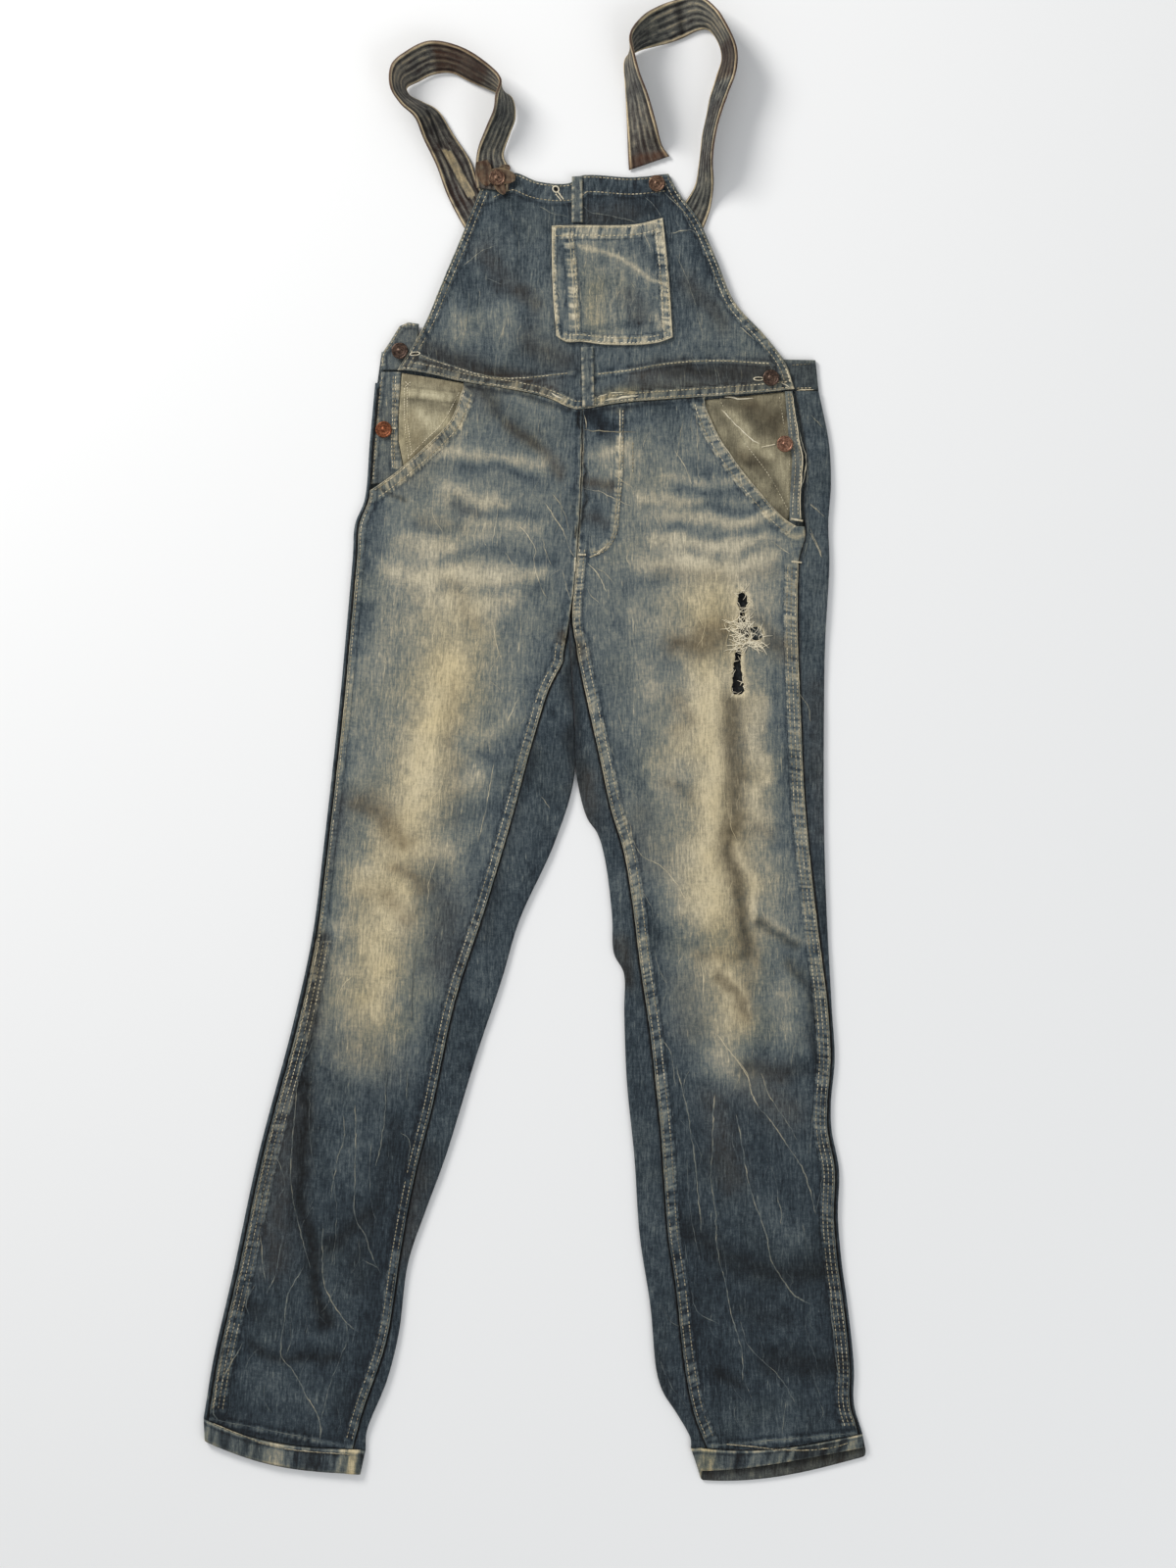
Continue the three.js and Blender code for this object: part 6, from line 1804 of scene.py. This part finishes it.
right_marks = slubs(RIGHT_SCRATCHES, 500) + scattered(right_outline, 130, 5, -0.12)
right_marks += seam_lines(right_seams, right_outline)
left_marks = slubs(LEFT_SCRATCHES, 600) + scattered(left_outline, 130, 6, 0.06)
left_marks += seam_lines(left_seams, left_outline)
fly_shadow = stretch(LEFT_LEG["front"], 306, 184)
left_marks.append(scratch(fly_shadow, 1.5, 0.1, -0.2, 31, 0, 0.75, wander=0.15, taper=2))
bib_marks = slubs(BIB_SCRATCHES, 700) + scattered(bib_outline, 60, 7, length=(8, 34))
bib_marks += seam_lines(bib_seams, bib_outline)
pocket_marks = scattered(pocket_outline, 26, 8, length=(10, 40))
pocket_marks += seam_lines(pocket_seams, pocket_outline, 0.3, 0.5)

attach("front_leg_right_stitches", sewn_rows(right_seams, right_outline), leg_right_face, leg_thread, thread,
       "front_leg_right_cloth")
left_rows = sewn_rows(left_seams, left_outline)
left_rows.append(stitch_row([(92.6, 279), (92.6, 250)], seed=33, paler=-0.1))
attach("front_leg_left_stitches", left_rows, leg_left_face, leg_thread, thread, "front_leg_left_cloth")
attach("front_leg_right_slubs", right_marks, leg_right_face, front_wear_and_shade, denim, "front_leg_right_cloth")
attach("front_leg_left_slubs", left_marks, leg_left_face, front_wear_and_shade, denim, "front_leg_left_cloth")
attach("back_leg_right_slubs", slubs(BACK_SCRATCHES, 800), lap_face, back_wear_and_shade, denim,
       "back_leg_right_cloth")
attach("bib_stitches", sewn_rows(bib_seams, bib_outline), bib_face, (0.72, 0.35, 0.15, 0.03), thread,
       "bib_cloth")
attach("bib_slubs", bib_marks, bib_face, bib_wear_and_shade, bib_denim, "bib_cloth")
attach("bib_pocket_stitches", sewn_rows(pocket_seams, pocket_outline), pocket_face, (0.82, 0.35, 0.08, 0.0),
       thread,
       "bib_pocket_cloth")
attach("bib_pocket_slubs", pocket_marks, pocket_face, pocket_wear, pocket_denim, "bib_pocket_cloth")

HEM_ROW_RIGHT = [(-300.8, -640.5), (-277, -650.5), (-246.7, -661.5), (-220.8, -666), (-196.9, -668),
                 (-171, -670)]
HEM_ROW_LEFT = [(180, -660), (200.6, -662), (238.3, -665.7), (275.9, -663.9), (304, -656)]
for side_name, route in (("right", HEM_ROW_RIGHT), ("left", HEM_ROW_LEFT)):
    rows = [stitch_row(route, seed=34), scratch(route, 1.0, 0.15, 0.2, 36, 0.2, wander=0.3)]
    attach(f"hem_{side_name}_stitches", rows, hem_face, (0.62, 0.3, 0.2, 0.05), thread,
           f"hem_{side_name}_cloth")

# ------------------------------ pocket facings, plackets and waistband
CREAM = (0.92, 0.25, 0.05, 0.0)
FACING_ROWS_RIGHT = [
    [(-121.5, 330), (-121.2, 300), (-117.5, 262)], [(-118.8, 331), (-118.4, 300), (-114.6, 266)],
    [(-70, 326), (-86, 297), (-104, 279), (-119, 264)], [(-121, 336), (-115, 331)],
    [(-121, 331), (-115, 336)]]
facing_right_face = over(lapped_level, [FACING_RIGHT_BAND])
attach("pocket_facing_right_stitches",
       [stitch_row(r, pitch=2.4, length=2.1, radius=0.36, seed=35 + i) for i,
        r in enumerate(FACING_ROWS_RIGHT)],
       facing_right_face, CREAM, thread, "pocket_facing_right_cloth")
FACING_ROWS_LEFT = [[(175, 317), (196, 281), (221, 247), (239, 214)],
                    [(230, 322), (236, 285), (239.5, 262), (238, 226)]]
attach("pocket_facing_left_stitches",
       [stitch_row(r, pitch=3.0, length=2.2, radius=0.34, seed=45 + i, paler=-0.2) for i,
        r in enumerate(FACING_ROWS_LEFT)]
       + [scratch([(176, 310), (188, 297), (199, 286), (212, 277)], 1.6, 0.2, 0.1, 9),
          bar((214, 274.5), (226, 277), 1.3, seed=3, fade=0.05),
          scratch([(178, 322), (198, 319.5), (206, 320)], 1.8, 0.3, 0.2, 12)],
       facing_left_level, CREAM, thread, "pocket_facing_left_cloth")
PLACKET_TONE = (0.74, 0.35, 0.2, 0.0)
attach("side_placket_right_stitches",
       sewn_rows([side_right_seam, side_right_edge], soft_outline(RIGHT_SIDE_PLACKET)),
       over(lapped_level, [side_right_seam, side_right_edge]), PLACKET_TONE, thread,
       "side_placket_right_cloth")
LEFT_PLACKET_ROWS = [[(238.3, 325), (241.9, 281), (245, 262), (242.6, 222), (242.4, 208)],
                     [(240.6, 325), (246.8, 281), (249.8, 262), (247.4, 222), (247.8, 208)]]
attach("side_placket_left_stitches", [stitch_row(r, seed=55 + i) for i, r in enumerate(LEFT_PLACKET_ROWS)]
       + [scratch([(241.5, 325), (248.4, 281), (251.4, 262), (249, 222), (250, 206)], 1.3, 0.3, 0.25, 58,
                  0.3, wander=0.3)],
       placket_left_level, PLACKET_TONE, thread, "side_placket_left_cloth")
attach("waist_tab_right_stitches", sewn_rows([tab_edge], soft_outline(WAIST_TAB)),
       over(lapped_level, [tab_edge]),
       PLACKET_TONE, thread, "waist_tab_right_cloth")
attach("back_waistband_stitches",
       [stitch_row([(246, 329.6), (262, 330)], seed=61),
        scratch([(246, 327.8), (263, 328.2)], 1.5, 0.3, 0.4, 62, 0.3, wander=0.2),
        stitch_row([(238, 351), (260, 352.5)], seed=63, paler=-0.25)],
       lambda x, y: LAPPED_TOP + 0.1 + 0 * x, (0.6, 0.3, 0.1, 0.0), thread, "back_waistband_cloth")
attach("back_leg_left_slubs",
       slubs([([(259, 221), (273, 209)], 1.0, 0.26), ([(259, 198), (270, 171)], 1.0, 0.26),
              ([(259, 305), (271, 292)], 0.9, 0.2)], 830)
       + [scratch([(257, 262), (256, 222), (257, 192), (252, 168)], 1.3, 0.2, 0.16, 840, 0.2)],
       lap_face, back_wear_and_shade, denim, "back_leg_left_cloth")

# ------------------------------ bartacks and buttonholes
WHITE = (1.0, 0.08, 0.0, 0.0)


def ring(centre, radius_x, radius_y, angle, count=26, width=1.5):
    """Threads set across an oval line, as round a buttonhole."""
    a = np.linspace(0, 2 * np.pi, count, endpoint=False)
    c, s = math.cos(angle), math.sin(angle)
    way = np.stack([np.cos(a) * c - np.sin(a) * s, np.cos(a) * s + np.sin(a) * c], 1)
    x, y = radius_x * np.cos(a), radius_y * np.sin(a)
    oval = np.stack([x * c - y * s, x * s + y * c], 1)
    p = np.column_stack([np.array(centre) + oval - way * width / 2, 0 * a + 0.2])
    q = np.column_stack([np.array(centre) + oval + way * width / 2, 0 * a + 0.2])
    points, faces, each = spindles(p, q, 0.48)
    return points, faces, (np.repeat(0.1 * noise(a * 5, 0 * a, 1, 77), each), 0, 1, 0)


attach("bib_buttonholes",
       [ring((20.5, 516), 3.1, 2.7, -0.95), bar((22.6, 513.2), (27.5, 506.4), 1.5, seed=1),
        bar((20.6, 511.2), (25.8, 504.8), 1.3, seed=2),
        ring((210.5, 338.1), 4.6, 1.5, 0, 22, 1.2), ring((-111.5, 361.6), 4.6, 1.5, 0.1, 22, 1.2)],
       bib_face, WHITE, thread, "bib_cloth")
# the slits of the buttonholes: near black threads as painted shadow in the openings
attach("bib_dark_holes",
       [bar((19.2, 517.6), (21.8, 514.2), 3.6, seed=3, lift=0.02, dark=0.9, fade=-1),
        bar((207, 338.1), (214, 338.1), 1.3, seed=5, lift=0.05, dark=0.9, fade=-1),
        bar((-115, 361.2), (-108, 362), 1.3, seed=6, lift=0.05, dark=0.9, fade=-1)],
       bib_face, WHITE, thread, "bib_cloth")
attach("front_leg_left_bars",
       [bar((41.5, 173.4), (48.5, 173.4), 2.2, seed=7), bar((38.6, 170), (38.2, 158), 2.0, seed=8),
        bar((241, 207), (252, 205), 2.2, seed=9),
        bar((241.5, 167), (251, 166), 2.0, seed=10), bar((59.5, 174.5), (66, 180), 2.4, seed=13, fade=-0.1),
        bar((61, 174.5), (52, 171), 1.6, seed=14, fade=-0.15),
        scratch([(81, 311), (80.2, 262)], 1.5, 0.3, 0.1, 15),
        scratch([(97, 288), (47, 290)], 1.4, 0.15, -0.35, 16, 0, 0.2),
        scratch([(48, 304), (49, 290)], 1.2, 0.2, -0.1, 17)],
       leg_left_face, (0.86, 0.25, 0.08, 0.0), thread, "front_leg_left_cloth")
attach("side_placket_right_bars", [bar((-136.5, 292), (-129, 292), 2.0, seed=12)], lambda x,
       y: lapped_level(x, y) + 0.4, WHITE, thread,
       "side_placket_right_cloth")
attach("bib_worn_spots",
       [scratch([(16, 325), (22, 321.5), (27, 320)], 3.2, 0.5, 0.0, 21),
        scratch([(14, 322.5), (20, 319.8)], 2.0, 0.4, -0.1, 22),
        scratch([(66, 318.4), (82, 320.4), (98, 323)], 2.6, 0.4, -0.15, 23),
        scratch([(60, 322), (74, 325), (88, 326)], 1.8, 0.3, -0.25, 24),
        scratch([(48, 317), (57, 314)], 2.2, 0.4, -0.1, 25),
        scratch([(236, 348), (242, 334)], 2.2, 0.3, -0.1, 26),
        scratch([(230, 336), (240, 330)], 1.6, 0.3, -0.1, 27)],
       bib_face, WHITE, thread, "bib_cloth")

# ------------------------------ frayed threads round the rip
FRAYS_ROUND_HOLE = (30, 46, 18)
# patches of torn threads beside the holes: from x, to x, from y, to y, slant and count
FRAYED_PATCHES = [
    (183, 199, 95, 113, -0.2, 44), (188, 212, 85, 93, 0.15, 40), (191, 203, 103, 117, 1.2, 14),
    (206, 217, 84, 92, -0.2, 16)]
rng = np.random.default_rng(17)
threads = []
for k, hole in enumerate(rip_holes):
    centre = hole.mean(0)
    for _ in range(FRAYS_ROUND_HOLE[k]):
        start = hole[rng.integers(len(hole))]
        inward = (centre - start) / np.linalg.norm(centre - start)
        way = inward * (rng.uniform(-0.6, 0.5) if k else rng.uniform(-0.8, 0.15)) + rng.normal(0, 0.6, 2)
        length = rng.uniform(4, 11) if k else rng.uniform(2.5, 7)
        threads.append(fray(start, way, length, int(rng.integers(9999)), rng.uniform(0.25, 0.45)))
for x0, x1, y0, y1, slant, count in FRAYED_PATCHES:
    for _ in range(count):
        start = np.array([rng.uniform(x0, x1), rng.uniform(y0, y1)])
        angle = slant + rng.normal(0, 0.55) + math.pi * rng.integers(2)
        way = (math.cos(angle), math.sin(angle))
        threads.append(fray(start, way, rng.uniform(4, 12), int(rng.integers(9999)), rng.uniform(0.35, 0.7)))
attach("front_leg_left_frays", threads, leg_left_face, (1.15, 0.12, 0.0, 0.0), thread,
       "front_leg_left_cloth")


# ------------------------------ scorched lobes where the right strap ends
def lobe(centre, angle, length, width, height, seed):
    """A puckered petal of cloth."""
    u, v = np.meshgrid(np.linspace(0, 1, 13), np.linspace(-1, 1, 13), indexing="ij")
    spread = np.sqrt(np.clip(np.sin(np.pi * (0.18 + 0.80 * u)), 0, 1))
    s, d = u * length, v * spread * width / 2
    c, n = math.cos(angle), math.sin(angle)
    x, y = centre[0] + s * c - d * n, centre[1] + s * n + d * c
    z = height + 1.2 * (v**2) * u + 0.5 * u + 0.3 * np.cos(v * 5 + seed) * u
    outer = np.stack([x, y, z], -1)
    inner = np.stack([x, y, z - 1.1], -1)
    rib = np.cos(v * 5 + 2 * u + seed)
    fade = 0.36 + 0.10 * rib + 0.3 * (abs(v) > 0.85) * (u > 0.2) + 0.12 * noise(x, y, 3, seed)
    tone = (fade, 0.7 + 0 * u, 0.66 + 0.2 * noise(x, y, 4, seed + 1), 0.3 * (1 - u) + 0.2 * (rib < -0.3))
    return grid_shell(outer, inner, tone, tone, np.stack([x, y], -1))


# root, angle, length, width, height and seed
LOBES = [
    ((-49, 542), -1.35, 24, 15, 8.4, 1), ((-40, 529), -0.15, 23, 15, 9.0, 2),
    ((-36, 524), -1.0, 16, 9, 9.4, 3), ((-33, 531), 0.5, 12, 9, 8.4, 4)]
lobe_cloth = mesh_object("strap_right_lobes", *joined([lobe(*facts) for facts in LOBES]), strap_cloth)
attached.setdefault("strap_right_cloth", []).append(lobe_cloth)


# ------------------------------ buttons
def button(name, node, place, material, dished, tilt):
    """A shank button: stem, cupped back, rolled rim, grooved face and a raised centre."""
    r = BUTTON_RADIUS - 0.25
    profile = [(0.0, 0.0), (2.1, 0.0), (2.2, 0.9), (r - 1.0, 0.95), (r - 0.3, 1.25), (r, 1.7),
               (r - 0.12, 2.2),
               (r - 0.5, 2.6), (r - 1.0, 2.75), (r - 1.5, 2.6), (r - 1.9, 2.1), (r - 2.3, 1.95),
               (r - 2.7, 2.15),
               (r - 3.1, 2.2 - 0.3 * dished), (3.2, 2.15 - 0.5 * dished), (2.6, 2.0 - 0.5 * dished),
               (2.2, 2.25), (1.5, 2.6),
               (0.7, 2.72), (0.0, 2.75)]
    sides = BUTTON_SIDES
    angle = np.arange(sides) * 2 * np.pi / sides
    x0, y0, z0 = place
    points, faces = [(0, 0, profile[0][1])], []
    for radius, z in profile[1:-1]:
        dent = 1 + 0.012 * np.sin(3 * angle + x0) + 0.008 * np.sin(7 * angle + y0)
        points += list(zip(radius * dent * np.cos(angle), radius * dent * np.sin(angle), np.full(sides, z)))
    points.append((0, 0, profile[-1][1]))
    rings = len(profile) - 2
    for k in range(sides):
        n = (k + 1) % sides
        faces.append((0, 1 + n, 1 + k))
        for i in range(rings - 1):
            faces.append((1 + i * sides + k, 1 + i * sides + n, 1 + (i + 1) * sides + n,
                          1 + (i + 1) * sides + k))
        faces.append((1 + (rings - 1) * sides + k, 1 + (rings - 1) * sides + n, len(points) - 1))
    p = np.array(points, float)
    p[:, 2] += tilt[0] * p[:, 0] + tilt[1] * p[:, 1] + z0
    p[:, :2] += (x0, y0)
    made = mesh_object(name, p, faces, (0, 0, 0, 0), p[:, :2], material)
    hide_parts(node)


copper = metal_material("copper", (150, 92, 62), (104, 58, 36), (54, 38, 28))
brown_metal = metal_material("brown_metal", (132, 104, 84), (84, 60, 48), (44, 36, 32))
dark_metal = metal_material("dark_metal", (98, 78, 66), (60, 46, 40), (34, 30, 28))
dusty_metal = metal_material("dusty_metal", (156, 118, 98), (118, 82, 64), (78, 58, 48))
# where, side, foot of the stem, metal, how far the face is dished and how it leans
BUTTONS = [
    ("bib", "right", (-34.5, 526, 8), brown_metal, 0.4, (0.02, -0.02)),
    ("bib", "left", (115, 521, 6.8), brown_metal, 0.8, (-0.02, 0.02)),
    ("waist", "right", (-125.7, 364.3, 6.4), dark_metal, 0.5, (0.03, 0.0)),
    ("waist", "left", (222, 339, 6.4), dark_metal, 0.6, (0.0, -0.03)),
    ("hip", "right", (-140.8, 290.7, 4.4), copper, 0.7, (0.02, 0.02)),
    ("hip", "left", (235, 277, 6.4), dusty_metal, 0.5, (-0.02, -0.02))]
for where, side_name, *facts in BUTTONS:
    button(f"{where}_button_{side_name}", f"button_{where}_{side_name}", *facts)

# ------------------------------ stage, light and camera
def area_light(name, place, aim, size, power, colour):
    """A square light aimed at a place."""
    data = bpy.data.lights.new(name, "AREA")
    data.shape, data.size = "SQUARE", size
    data.energy, data.color = power, colour
    light = bpy.data.objects.new(name, data)
    bpy.context.scene.collection.objects.link(light)
    light.location = place
    light.rotation_mode = "QUATERNION"
    light.rotation_quaternion = (Vector(aim) - Vector(place)).to_track_quat("-Z", "Y")


# in metres and watts
FLOOR_SIZE, FLOOR_DROP = 14, 0.0004
WHITE_FLOOR, SKY, SKY_STRENGTH = (0.86, 0.86, 0.86, 1), (0.96, 0.98, 1.0, 1), 0.50
KEY_PLACE, KEY_AIM, KEY_SIZE = (-1.9, 2.1, 1.7), (0.1, -0.15, 0), 1.1
KEY_POWER, KEY_COLOUR = 88, (1.0, 0.985, 0.96)
FILL_PLACE, FILL_AIM, FILL_SIZE = (1.9, -1.6, 2.2), (0, -0.2, 0), 2.0
FILL_POWER, FILL_COLOUR = 24, (0.95, 0.98, 1.0)
CAMERA_PLACE, CAMERA_LENS = (0.0506, -0.0414, 3.0), 73.37

bpy.ops.mesh.primitive_plane_add(size=FLOOR_SIZE, location=(0, 0, -FLOOR_DROP))
floor = bpy.context.object
floor.name = "floor"
paper = Shader("paper", 0.95, specular=0.1)
paper.put(paper.base.inputs["Base Color"], WHITE_FLOOR)
floor.data.materials.append(paper.material)

world = bpy.data.worlds.new("studio")
bpy.context.scene.world = world
world.use_nodes = True
world.node_tree.nodes["Background"].inputs[0].default_value = SKY
world.node_tree.nodes["Background"].inputs[1].default_value = SKY_STRENGTH
area_light("key", KEY_PLACE, KEY_AIM, KEY_SIZE, KEY_POWER, KEY_COLOUR)
area_light("fill", FILL_PLACE, FILL_AIM, FILL_SIZE, FILL_POWER, FILL_COLOUR)

camera = bpy.data.objects.new("camera", bpy.data.cameras.new("camera"))
bpy.context.scene.collection.objects.link(camera)
bpy.context.scene.camera = camera
camera.location = CAMERA_PLACE
camera.data.lens = CAMERA_LENS
bpy.context.scene.view_settings.view_transform = "Standard"
